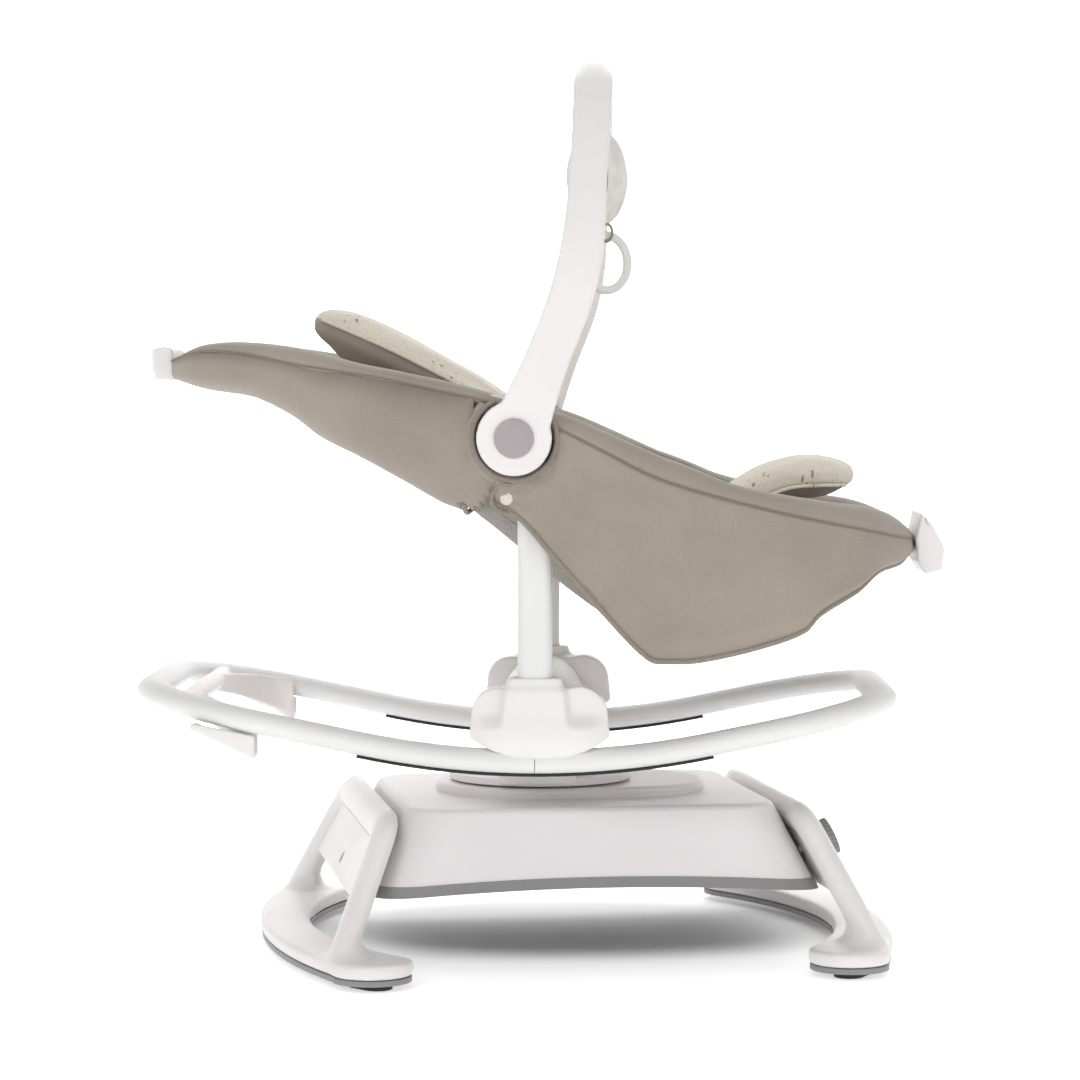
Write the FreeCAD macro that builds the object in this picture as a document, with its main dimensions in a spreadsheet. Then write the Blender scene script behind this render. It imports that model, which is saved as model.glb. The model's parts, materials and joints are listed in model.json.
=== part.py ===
import FreeCAD, Part
import math
import os

from FreeCAD import Placement, Rotation, Vector

# Baby swing with a lift-off rocker seat.  Millimetres, +Z up, +X towards the foot end of the seat.
# Two local frames are used and each sub-part is placed from one of them:
#   the base frame has its origin on the floor under the middle of the base, X along the base;
#   the seat frame has its origin on the floor under the turning axis of the seat, X along the seat.

os.makedirs("parts", exist_ok=True)
doc = FreeCAD.newDocument("baby_swing")
sheet = doc.addObject("Spreadsheet::Sheet", "Sizes")

SIZES = [
    # where the two local frames stand
    ("base_yaw", 10, "angle of the base to the seat as displayed"),
    ("glide_offset", 28, "distance of the seat axis from the middle of the glide"),
    ("seat_axis_x", -4, "seat axis from the origin, along X"),
    # floor pads, soles and leg frames
    ("pad_height", 5, "rubber pad"),
    ("sole_height", 5, "grey sole"),
    ("foot_plate_height", 13, "curved foot plate"),
    ("foot_outer_reach", 284, "middle of the outer edge of a foot plate"),
    ("foot_outer_radius", 700, "radius of that edge"),
    ("foot_inner_reach", 240, "middle of the inner edge"),
    ("foot_tip_x", 210, "centre of the round foot"),
    ("foot_tip_y", 233, "centre of the round foot"),
    ("foot_tip_radius", 35, "round foot"),
    ("foot_back_y", 216, "where the round foot meets the inner edge"),
    ("leg_half_width", 16, "oval leg, along the arch"),
    ("leg_half_thickness", 11, "oval leg, across the arch"),
    ("leg_lean", 0.45, "outward lean of the arch per height"),
    ("leg_plane_reach", 243.7, "reach of the arch plane at the floor"),
    ("leg_foot_y", 224, "leg centre at the foot"),
    ("leg_top_y", 152, "leg centre at the shoulder"),
    ("leg_top_z", 125, "cross bar centre"),
    ("leg_corner", 30, "shoulder bend"),
    # base housing
    ("arch_rise", 8, "rise of the lower edge in the middle of each side"),
    ("edge_bottom", 65, "lower edge of the trim at the ends"),
    ("trim_height", 9, "grey band"),
    ("shell_low_z", 60, "level of the lower outline"),
    ("shell_top", 140, "flat top"),
    ("plateau_top", 149, "raised oval track"),
    ("shell_low_x", 202, "half length of the lower outline"),
    ("shell_low_y", 188, "half depth of the lower outline"),
    ("shell_high_x", 165, "half length at the top"),
    ("shell_high_y", 150, "half depth at the top"),
    ("shell_corner", 42, "corner radius in plan"),
    ("wall", 3, "moulded wall"),
    ("dial_radius", 17, "speed dial"),
    ("dial_y", -125, "speed dial, from the middle of the panel"),
    ("dial_z", 101, "speed dial"),
    ("plateau_half_length", 124, "raised oval track"),
    ("plateau_half_width", 84, "raised oval track"),
    # drive
    ("rod_radius", 5, "glide rod"),
    ("rod_y", 66, "glide rod"),
    ("rod_z", 112, "glide rod"),
    ("rod_half_length", 140, "glide rod"),
    ("bush_radius", 8.5, "carriage bush"),
    ("bush_length", 20, "carriage bush"),
    ("carriage_half_length", 44, "carriage"),
    ("carriage_half_width", 78, "carriage"),
    ("carriage_bottom", 101, "carriage"),
    ("carriage_top", 123, "carriage"),
    ("gear_module", 1.5, "gear teeth"),
    ("pinion_teeth", 16, "pinion at the rack"),
    ("wheel_teeth", 40, "reduction wheel"),
    ("motor_teeth", 10, "motor pinion"),
    ("rack_line", 84, "pitch line of the rack, across the base"),
    ("motor_angle", 40, "direction from the wheel to the motor"),
    ("motor_radius", 16, "drive motor"),
    ("post_radius", 19.5, "carriage post in the slot"),
    ("pivot_radius", 12, "turning pivot"),
    # turntable and dock
    ("disc_radius", 83, "turntable"),
    ("disc_bottom", 151, "turntable"),
    ("disc_thickness", 6, "turntable"),
    ("cradle_top", 179.7, "dock cradle"),
    ("cradle_half_length", 90, "dock cradle, across the seat"),
    ("cradle_half_width", 34, "dock cradle, along the seat"),
    # rocker
    ("rail_y", 190, "rail centre from the middle"),
    ("rail_z", 185, "rail centre at its lowest"),
    ("rail_radius", 750, "rocking radius"),
    ("rail_arc_half", 150, "half length of the rocking arc"),
    ("rail_half_width", 14, "oval rail tube"),
    ("rail_half_height", 10.5, "oval rail tube"),
    ("rail_head_x", 346, "head end of the loop"),
    ("rail_foot_x", 308, "foot end of the loop"),
    ("rail_corner", 110, "radius of the loop's corners"),
    ("tube_wall", 1.5, "rail tube"),
    ("beam_half_width", 38, "cross beam"),
    ("beam_half_length", 166, "cross beam"),
    ("beam_bottom", 180, "cross beam"),
    ("beam_parting", 214, "cross beam"),
    ("beam_top", 251, "cross beam"),
    ("saddle_inner_y", 167, "saddle inner face"),
    ("saddle_outer_y", 208, "saddle outer face"),
    ("upright_width", 30, "upright post"),
    ("upright_depth", 20, "upright post"),
    ("upright_y", 192, "upright post centre"),
    ("boss_radius", 20, "round head of the post"),
    # hub stack, seat and toy arch
    ("hub_x", -17, "recline axis"),
    ("hub_z", 466, "recline axis"),
    ("hub_radius", 29, "seat hub"),
    ("hub_inner_y", 203, "seat hub"),
    ("hub_outer_y", 212, "seat hub"),
    ("arch_hub_radius", 32.2, "toy arch hub"),
    ("arch_inner_y", 219, "toy arch"),
    ("arch_outer_y", 235, "toy arch"),
    ("hub_pin_radius", 6, "recline pin"),
    ("arch_pin_radius", 8, "toy arch spigot"),
    ("run_clearance", 0.06, "running fit, on the radius"),
    ("seat_tube_radius", 7, "seat frame tube"),
    ("arch_spring_z", 580, "height where the toy arch starts to round"),
    ("arch_top", 806.5, "top of the toy arch"),
    ("cap_radius", 17, "grey hub cap"),
    ("cover_y", 216, "outer face of the cover at the hubs"),
    ("cover_thickness", 3, "cover"),
    ("plan_head_x", -100, "start of the round head end"),
    ("plan_foot_x", 120, "start of the round foot end"),
    ("plan_head_reach", 238, "length of the round head end"),
    ("plan_foot_reach", 222, "length of the round foot end"),
    ("rim_depth", 16, "padded rim"),
    ("rim_width", 40, "padded rim"),
    ("sling_y", 165, "half width of the sling"),
    ("sling_thickness", 7, "sling"),
    ("insert_half_width", 104, "newborn insert"),
    ("insert_thickness", 26, "newborn insert"),
    ("strap_width", 25, "harness webbing"),
    ("strap_thickness", 2, "harness webbing"),
    ("toy_x", 52, "hanging toy"),
    ("toy_z", 702, "middle of the plush toy"),
    ("toy_half_height", 44, "plush toy"),
    ("toy_half_width", 28, "plush toy"),
    ("ring_z", 624, "toy ring centre"),
    ("ring_radius", 25, "toy ring"),
    ("ring_tube", 4, "toy ring"),
    ("ring_turn", 40, "angle of the ring to the side view"),
]
for row, (alias, value, note) in enumerate(SIZES, start=1):
    sheet.set(f"A{row}", alias)
    sheet.set(f"B{row}", str(value))
    sheet.set(f"C{row}", note)
    sheet.setAlias(f"B{row}", alias)
doc.recompute()


def size(alias):
    return float(getattr(sheet, alias))


YAW = size("base_yaw")
SEAT_AXIS = Vector(size("seat_axis_x"), -size("glide_offset") * math.sin(math.radians(YAW)), 0)
BASE_CENTRE = SEAT_AXIS + Rotation(Vector(0, 0, 1), YAW).multVec(Vector(size("glide_offset"), 0, 0))
BASE = Placement(BASE_CENTRE, Rotation(Vector(0, 0, 1), YAW))
SEAT = Placement(SEAT_AXIS, Rotation())
HUB = Vector(size("hub_x"), 0, size("hub_z"))
X, Y, Z = Vector(1, 0, 0), Vector(0, 1, 0), Vector(0, 0, 1)
SUBPARTS = []


# ---------------------------------------------------------------- helpers for parametric objects
def bind(obj, **cells):
    """Binds properties to expressions of the sheet's cells."""
    for name, expression in cells.items():
        obj.setExpression(name, expression)
    return obj


def cell(text):
    """An expression in which each bare alias is read from the sheet."""
    out = text
    for alias in sorted((a for a, _, _ in SIZES), key=len, reverse=True):
        if alias in out:
            out = out.replace(alias, "\0" + str(ALIASES.index(alias)) + "\1")
    for index, alias in enumerate(ALIASES):
        out = out.replace("\0" + str(index) + "\1", "Sizes." + alias)
    return out


ALIASES = [a for a, _, _ in SIZES]


def box(name, length, width, height, at):
    """A block centred in X and Y on the point at, standing on it."""
    obj = doc.addObject("Part::Box", name)
    bind(obj, Length=cell(str(length)), Width=cell(str(width)), Height=cell(str(height)))
    doc.recompute([obj])
    corner = Vector(at[0] - obj.Length.Value / 2, at[1] - obj.Width.Value / 2, at[2])
    obj.Placement = Placement(corner, Rotation())
    return obj


def cylinder(name, radius, height, at, axis=Z):
    obj = doc.addObject("Part::Cylinder", name)
    bind(obj, Radius=cell(str(radius)), Height=cell(str(height)))
    obj.Placement = Placement(Vector(*at), Rotation(Z, axis))
    return obj


def cut(name, base, *tools):
    tool = tools[0] if len(tools) == 1 else fuse(name + "_tools", *tools)
    obj = doc.addObject("Part::Cut", name)
    obj.Base, obj.Tool = base, tool
    return obj


def fuse(name, *shapes):
    obj = doc.addObject("Part::MultiFuse", name)
    obj.Shapes = list(shapes)
    return obj


def finish(obj, label, placement):
    """Names a sub-part and moves it from its local frame to its place."""
    obj.Label = label
    obj.Placement = placement.multiply(obj.Placement)
    SUBPARTS.append(obj)
    return obj


def shaped(label, shape, placement):
    """A sub-part made with Part's own functions."""
    obj = doc.addObject("Part::Feature", label)
    obj.Shape = shape
    return finish(obj, label, placement)


# ---------------------------------------------------------------- helpers for free shapes
def rounded_rectangle(half_x, half_y, radius, height):
    """A closed wire, a rectangle with round corners."""
    edges = []
    for sx, sy, start in ((1, 1, 0), (-1, 1, 90), (-1, -1, 180), (1, -1, 270)):
        centre = Vector(sx * (half_x - radius), sy * (half_y - radius), height)
        edges.append(Part.makeCircle(radius, centre, Z, start, start + 90))
    wire = []
    for arc, following in zip(edges, edges[1:] + edges[:1]):
        wire += [arc, Part.makeLine(arc.Vertexes[-1].Point, following.Vertexes[0].Point)]
    return Part.Wire(wire)


def stadium(half_length, radius, low, high):
    """A solid with an oval outline: half_length is to the end of the round."""
    straight = half_length - radius
    shape = Part.makeBox(2 * straight, 2 * radius, high - low, Vector(-straight, -radius, low))
    for side in (-1, 1):
        shape = shape.fuse(Part.makeCylinder(radius, high - low, Vector(side * straight, 0, low)))
    return shape.removeSplitter()


def outline(points):
    """A closed face in the XZ plane from (x, z) pairs."""
    corners = [Vector(x, 0, z) for x, z in points]
    return Part.Face(Part.makePolygon(corners + corners[:1]))


def slab(points, low_y, high_y):
    """The XZ outline from low_y to high_y."""
    face = outline(points)
    face.translate(Vector(0, low_y, 0))
    return face.extrude(Vector(0, high_y - low_y, 0))


def side_band(line, thickness, low_y, high_y, lift=0.0):
    """A band that follows a smooth line of (x, z) points, seen from the side."""
    spline = Part.BSplineCurve()
    spline.interpolate([Vector(x, 0, z) for x, z in line])
    first, last = spline.FirstParameter, spline.LastParameter
    upper, lower = [], []
    steps = 4 * len(line)
    for i in range(steps + 1):
        t = first + (last - first) * i / steps
        point, tangent = spline.value(t), spline.tangent(t)[0]
        normal = Vector(-tangent.z, 0, tangent.x)
        upper.append(point + normal * (lift + thickness / 2))
        lower.append(point + normal * (lift - thickness / 2))
    top, bottom = Part.BSplineCurve(), Part.BSplineCurve()
    top.interpolate(upper)
    bottom.interpolate(lower)
    wire = Part.Wire([
        top.toShape(), Part.makeLine(upper[-1], lower[-1]),
        bottom.toShape(), Part.makeLine(lower[0], upper[0])])
    face = Part.Face(wire)
    face.translate(Vector(0, low_y, 0))
    return face.extrude(Vector(0, high_y - low_y, 0))


def mirrored(shape):
    return shape.mirror(Vector(0, 0, 0), Y)


def both_sides(shape):
    """The near shape and its mirror image on the far side."""
    return Part.makeCompound([shape, mirrored(shape)])


def gear_face(teeth, phase_deg, thinning=0.2, bore=0.0):
    """An involute gear outline as a face at Z 0.  phase_deg is where a tooth points."""
    module = size("gear_module")
    pitch_r = module * teeth / 2
    base_r = pitch_r * math.cos(math.radians(20))
    tip_r, root_r = pitch_r + 0.95 * module, pitch_r - 1.25 * module
    def involute(r):
        a = math.acos(min(1, base_r / max(r, base_r)))
        return math.tan(a) - a
    half_pitch = (math.pi / 2 - thinning / module) / teeth + involute(pitch_r)
    points = []
    for tooth in range(teeth):
        middle = math.radians(phase_deg) + 2 * math.pi * tooth / teeth
        radii = [root_r] + [base_r + (tip_r - base_r) * k / 4 for k in range(5) if base_r > root_r or k]
        flank = [(r, half_pitch - involute(r)) for r in sorted(set(radii))]
        for r, half in flank:
            points.append(Vector(r * math.cos(middle - half), r * math.sin(middle - half), 0))
        for r, half in reversed(flank):
            points.append(Vector(r * math.cos(middle + half), r * math.sin(middle + half), 0))
    face = Part.Face(Part.makePolygon(points + points[:1]))
    if bore:
        face = face.cut(Part.Face(Part.Wire(Part.makeCircle(bore))))
    return face


# ---------------------------------------------------------------- base: legs and feet
def foot_outline():
    """Crescent outline of the foot-end plate: outer arc, round foot, inner arc, round foot."""
    r, reach = size("foot_outer_radius"), size("foot_outer_reach")
    tip_x, tip_y, tip_r = size("foot_tip_x"), size("foot_tip_y"), size("foot_tip_radius")
    outer_x = reach - r + math.sqrt(r * r - tip_y * tip_y)
    a, b = Vector(outer_x, -tip_y, 0), Vector(outer_x, tip_y, 0)
    back = size("foot_back_y")
    c, d = Vector(tip_x - 0.95 * tip_r, back, 0), Vector(tip_x - 0.95 * tip_r, -back, 0)
    return Part.Wire([
        Part.Arc(a, Vector(reach, 0, 0), b).toShape(),
        Part.Arc(b, Vector(tip_x - 4, tip_y + tip_r, 0), c).toShape(),
        Part.Arc(c, Vector(size("foot_inner_reach"), 0, 0), d).toShape(),
        Part.Arc(d, Vector(tip_x - 4, -tip_y - tip_r, 0), a).toShape()])


def leg_point(y, z):
    return Vector(size("leg_plane_reach") - size("leg_lean") * z, y, z)


def leg_arch():
    """Inverted U of oval bar in the leaning plane."""
    foot = leg_point(-size("leg_foot_y"), size("pad_height") + size("sole_height") + 5)
    shoulder = leg_point(-size("leg_top_y"), size("leg_top_z"))
    up, across = (shoulder - foot).normalize(), Vector(0, 1, 0)
    turn = up.getAngle(across)
    trim = size("leg_corner") * math.tan(turn / 2)
    start, end = shoulder - up * trim, shoulder + across * trim
    inward = (across - up).normalize()
    middle = shoulder + inward * (size("leg_corner") / math.cos(turn / 2) - size("leg_corner"))
    def flip(v):
        return Vector(v.x, -v.y, v.z)
    path = Part.Wire([
        Part.makeLine(foot, start), Part.Arc(start, middle, end).toShape(),
        Part.makeLine(end, flip(end)), Part.Arc(flip(end), flip(middle), flip(start)).toShape(),
        Part.makeLine(flip(start), flip(foot))])
    plane_normal = up.cross(across).normalize()
    in_plane = plane_normal.cross(up).normalize()
    oval = Part.Ellipse(Vector(0, 0, 0), size("leg_half_width"), size("leg_half_thickness"))
    section = Part.Wire(oval.toShape())
    section.Placement = Placement(foot, Rotation(in_plane, up.cross(in_plane), up, "ZXY"))
    maker = Part.BRepOffsetAPI.MakePipeShell(path)
    maker.setBiNormalMode(plane_normal)
    maker.add(section, False, False)
    maker.build()
    maker.makeSolid()
    return maker.shape()


def leg_frame():
    sole_top = size("pad_height") + size("sole_height")
    wire = foot_outline()
    wire.translate(Vector(0, 0, sole_top))
    plate = Part.Face(wire).extrude(Vector(0, 0, size("foot_plate_height")))
    below = Part.makeBox(600, 600, sole_top, Vector(0, -300, 0))
    return plate.fuse(leg_arch()).cut(below).removeSplitter()


def legs():
    frame = leg_frame()
    turned = frame.copy()
    turned.rotate(Vector(0, 0, 0), Z, 180)
    relief = Part.makeCylinder(size("dial_radius") + 1, 40, dial_centre(), panel_normal())
    shaped("leg_frame_foot", frame.cut(relief), BASE)
    shaped("leg_frame_head", turned, BASE)
    wire = foot_outline()
    sole = Part.Face(wire.makeOffset2D(-1.2)).extrude(Vector(0, 0, size("sole_height") - 0.1))
    sole.translate(Vector(0, 0, size("pad_height")))
    other = sole.copy()
    other.rotate(Vector(0, 0, 0), Z, 180)
    shaped("sole_trims", Part.makeCompound([sole, other]), BASE)


def pads():
    """Four oval rubber pads, one under each foot."""
    solids = []
    for sx in (-1, 1):
        for sy in (-1, 1):
            pad_solid = stadium(22, 13, 0, size("pad_height") - 0.1)
            pad_solid.rotate(Vector(0, 0, 0), Z, sx * sy * 125)
            pad_solid.translate(Vector(sx * size("foot_tip_x"), sy * (size("foot_tip_y") + 4), 0))
            solids.append(pad_solid)
    shaped("foot_pads", Part.makeCompound(solids), BASE)


# ---------------------------------------------------------------- base: housing
def edge_level(x, lift=0.0):
    """Height of the arched lower edge of the housing at x."""
    rise = size("arch_rise")
    return size("edge_bottom") + rise * (1 - (x / size("shell_low_x")) ** 2) + lift


def below_edge(lift):
    """Everything under the arched edge raised by lift."""
    half = size("shell_low_x")
    left, middle, right = [Vector(x, -300, edge_level(x, lift)) for x in (-half, 0, half)]
    out = 1.2 * half
    end_left, end_right = Vector(-out, -300, left.z), Vector(out, -300, right.z)
    floor_left, floor_right = Vector(-out, -300, 0), Vector(out, -300, 0)
    wire = Part.Wire([
        Part.makeLine(end_left, left), Part.Arc(left, middle, right).toShape(),
        Part.makeLine(right, end_right), Part.makeLine(end_right, floor_right),
        Part.makeLine(floor_right, floor_left), Part.makeLine(floor_left, end_left)])
    return Part.Face(wire).extrude(Vector(0, 600, 0))


def housing_solid(inset, top_cut=0.0):
    """The sloped block of the housing, its outline drawn in by inset."""
    low, high = size("shell_low_z"), size("shell_top")
    corner = size("shell_corner") - inset
    lower = rounded_rectangle(size("shell_low_x") - inset, size("shell_low_y") - inset, corner, low)
    upper = rounded_rectangle(size("shell_high_x") - inset, size("shell_high_y") - inset, corner, high)
    above = Part.makeBox(900, 900, 50, Vector(-450, -450, high - top_cut))
    return Part.makeLoft([lower, upper], True).cut(above)


def housing():
    wall, trim = size("wall"), size("trim_height")
    outer = housing_solid(0)
    top = [e for e in outer.Edges if all(abs(v.Z - size("shell_top")) < 1e-6 for v in e.Vertexes)]
    outer = outer.makeFillet(9, top)
    length, width = size("plateau_half_length"), size("plateau_half_width")
    track = stadium(length, width, size("shell_top") - 1, size("plateau_top"))
    rim = [e for e in track.Edges if all(abs(v.Z - size("plateau_top")) < 1e-6 for v in e.Vertexes)]
    track = track.makeFillet(5, rim)
    inner = housing_solid(wall, 2 * wall)
    under = stadium(length - wall, width - wall, size("shell_top") - 3 * wall, size("plateau_top") - wall)
    slot = stadium(size("glide_offset") + size("post_radius") + 1, size("post_radius") + 1, 100, 200)
    shell = outer.fuse(track).cut(inner).cut(under).cut(slot).cut(below_edge(trim))
    shaped("base_shell", shell.removeSplitter(), BASE)
    band = housing_solid(-1.2).cut(housing_solid(wall)).cut(below_edge(0)).common(below_edge(trim - 0.05))
    shaped("trim_band", band, BASE)


def rod_towers():
    """Two cross walls with the seats of the glide rods."""
    towers = []
    for side in (-1, 1):
        at = side * size("rod_half_length")
        level, half = edge_level(at, 1.0), size("rod_y") + 12
        wall = Part.makeBox(12, 2 * half, size("rod_z") + 9 - level, Vector(at - 6, -half, level))
        for y in (-size("rod_y"), size("rod_y")):
            start = Vector(at - 6.5 if side > 0 else at, y, size("rod_z"))
            wall = wall.cut(Part.makeCylinder(size("rod_radius"), 6.5, start, X))
        towers.append(wall)
    return towers


def tray():
    """Closed floor of the housing, with the rod towers and an open battery well."""
    wall = size("wall")
    floor = housing_solid(wall + 0.3).cut(below_edge(1)).common(below_edge(1 + wall))
    floor = floor.fuse(rod_towers())
    well = Part.makeBox(78, 120, 23, Vector(-39, -60, 57))
    hollow = Part.makeBox(72, 114, 21, Vector(-36, -57, 56))
    door_seat = Part.makeBox(76, 118, 3.2, Vector(-38, -59, 56.9))
    gear_bore = Part.makeCylinder(3 + size("run_clearance"), 30, Vector(0, wheel_y(), 60))
    boss = Part.makeCylinder(8, 12, Vector(0, wheel_y(), edge_level(0, 1)))
    floor = floor.fuse([well, boss]).cut(hollow).cut(door_seat).cut(gear_bore)
    shaped("base_tray", floor.removeSplitter(), BASE)
    cells = []
    for index in range(4):
        place = Vector(-20 + 40 * (index % 2), -52 + 54 * (index // 2), 69)
        cells.append(Part.makeCylinder(7.2, 50, place, Y))
    shaped("battery_cells", Part.makeCompound(cells), BASE)


def battery_door():
    """Door of the battery well, hinged along one long side, with a finger catch."""
    door = Part.makeBox(74.4, 117, 2.4, Vector(-36.9, -58.5, 57))
    catch = Part.makeBox(3, 18, 5, Vector(31.5, -9, 59))
    shaped("battery_door", door.fuse(catch).removeSplitter(), BASE)


def end_panel_outline(offset, thickness):
    """Leaning plate between the legs of one end; offset is measured out from the arch plane."""
    lean = size("leg_lean")
    low, high = size("edge_bottom"), size("leg_top_z") + 3
    def reach(z):
        return size("leg_plane_reach") - lean * z + offset
    points = [(reach(low), low), (reach(high), high)]
    points += [(reach(high) - thickness, high), (reach(low) - thickness, low)]
    half = size("leg_foot_y") - 20
    return slab(points, -half, half)


def end_panels():
    """A panel between the legs at each end; the foot end carries the controls."""
    frame = leg_frame()
    blocker = frame.fuse(housing_solid(-1.4).fuse(stadium(40, 30, 0, 20)))
    plate = end_panel_outline(4, 14)
    for sy in (-1, 1):
        outside = Part.makeBox(400, 200, 300, Vector(0, 0 if sy > 0 else -200, 0))
        inner_side = leg_side_plane(sy)
        plate = plate.cut(outside.common(inner_side))
    plate = plate.cut(blocker)
    solids = sorted(plate.Solids, key=lambda s: s.Volume)
    plate = solids[-1]
    head = plate.copy()
    head.rotate(Vector(0, 0, 0), Z, 180)
    out = panel_normal()
    pocket_at = dial_centre() - out * 16
    plate = plate.cut(Part.makeCylinder(4 + size("run_clearance"), 40, pocket_at, out))
    key = panel_point(-70, 101)
    plate = plate.cut(Part.makeCylinder(8.3, 40, key - out * 16, out))
    shaped("end_panel_foot", plate, BASE)
    inlet = panel_point(0, 80)
    outward = Vector(-out.x, 0, out.z)
    at = Vector(-inlet.x, 0, inlet.z)
    head = head.cut(Part.makeCylinder(6, 40, at - outward * 16, outward))
    shaped("end_panel_head", head, BASE)
    socket = Part.makeCylinder(5.9, 12, at - outward * 14, outward)
    socket = socket.cut(Part.makeCylinder(2.8, 10, at - outward * 11.5, outward))
    shaped("dc_inlet", socket.fuse(Part.makeCylinder(1, 9, at - outward * 12.5, outward)), BASE)


def leg_side_plane(sy):
    """The space outside the middle line of a leg."""
    foot_y, top_y = size("leg_foot_y"), size("leg_top_y")
    low, high = size("pad_height"), size("leg_top_z") + 20
    rate = (top_y - foot_y) / (size("leg_top_z") - 15)
    points = [Vector(0, sy * (foot_y + rate * (z - 15)), z) for z in (low, high)]
    far = [Vector(0, sy * 400, high), Vector(0, sy * 400, low)]
    return Part.Face(Part.makePolygon(points + far + points[:1])).extrude(Vector(400, 0, 0))


def panel_normal():
    lean = size("leg_lean")
    return Vector(1, 0, lean).normalize()


def panel_point(y, z):
    """A point on the outer face of the foot-end panel."""
    return Vector(size("leg_plane_reach") - size("leg_lean") * z + 4, y, z)


def dial_centre():
    return panel_point(size("dial_y"), size("dial_z"))


def controls():
    """Knurled speed dial and power button on the foot-end panel."""
    out, centre, radius = panel_normal(), dial_centre(), size("dial_radius")
    knob = Part.makeCylinder(radius, 17, centre + out * 0.6, out)
    across = out.cross(Y)
    for index in range(24):
        turn = math.radians(15 * index)
        spot = centre + (Y * math.cos(turn) + across * math.sin(turn)) * (radius + 0.6)
        knob = knob.cut(Part.makeCylinder(1.4, 30, spot - out * 5, out))
    shaft = Part.makeCylinder(4, 17, centre - out * 16, out)
    shaped("speed_dial", knob.fuse(shaft).removeSplitter(), BASE)
    key = panel_point(-70, 101)
    shaped("power_button", Part.makeCylinder(8, 13, key - out * 10, out), BASE)
    board = Part.makeBox(2, 120, 40, Vector(0, -160, -20))
    lean_turn = Rotation(Y, -math.degrees(math.atan(size("leg_lean"))))
    board.Placement = Placement(panel_point(0, 101) - out * 27, lean_turn)
    shaped("control_board", board.common(housing_solid(4)), BASE)


# ---------------------------------------------------------------- base: drive and carriage
def wheel_y():
    return size("rack_line") + size("gear_module") * size("pinion_teeth") / 2


def motor_place():
    module, turn = size("gear_module"), math.radians(size("motor_angle"))
    distance = module * (size("wheel_teeth") + size("motor_teeth")) / 2
    return Vector(distance * math.cos(turn), wheel_y() + distance * math.sin(turn), 0)


def drive():
    """Motor, reduction wheel with its pinion, and the rods that the carriage slides on."""
    reach = size("rod_half_length")
    rods = []
    for y in (-size("rod_y"), size("rod_y")):
        rods.append(Part.makeCylinder(size("rod_radius"), 2 * reach, Vector(-reach, y, size("rod_z")), X))
    shaped("glide_rods", Part.makeCompound(rods), BASE)
    centre = Vector(0, wheel_y(), 0)
    wheel = gear_face(int(size("wheel_teeth")), size("motor_angle"))
    wheel.translate(centre + Z * 87)
    pinion = gear_face(int(size("pinion_teeth")), -90)
    pinion.translate(centre + Z * 93)
    shaft = Part.makeCylinder(3, 41, centre + Z * 79)
    solid = wheel.extrude(Z * 6).fuse([pinion.extrude(Z * 20), shaft])
    shaped("drive_wheel", solid, BASE)
    at = motor_place()
    facing = size("motor_angle") + 180 + 180 / size("motor_teeth")
    small = gear_face(int(size("motor_teeth")), facing, 0.2, 1.5)
    small.translate(at + Z * 87)
    shaped("motor_pinion", small.extrude(Z * 6), BASE)
    can = Part.makeCylinder(size("motor_radius"), 34, at + Z * 99)
    nose = Part.makeCylinder(1.5 - size("run_clearance"), 11, at + Z * 86)
    flange = Part.makeCylinder(size("motor_radius") + 2.5, 3, at + Z * 96)
    bracket = Part.makeBox(18, 46, 3, Vector(-3, -23, 96))
    supports = [bracket]
    level = edge_level(at.x, 4.5)
    for side in (-17, 17):
        supports.append(Part.makeCylinder(3, 96 - level, Vector(10, side, level)))
    for support in supports:
        support.rotate(Vector(0, 0, 0), Z, size("motor_angle"))
        support.translate(at)
    shaped("drive_motor", can.fuse([nose, flange] + supports).removeSplitter(), BASE)


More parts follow.
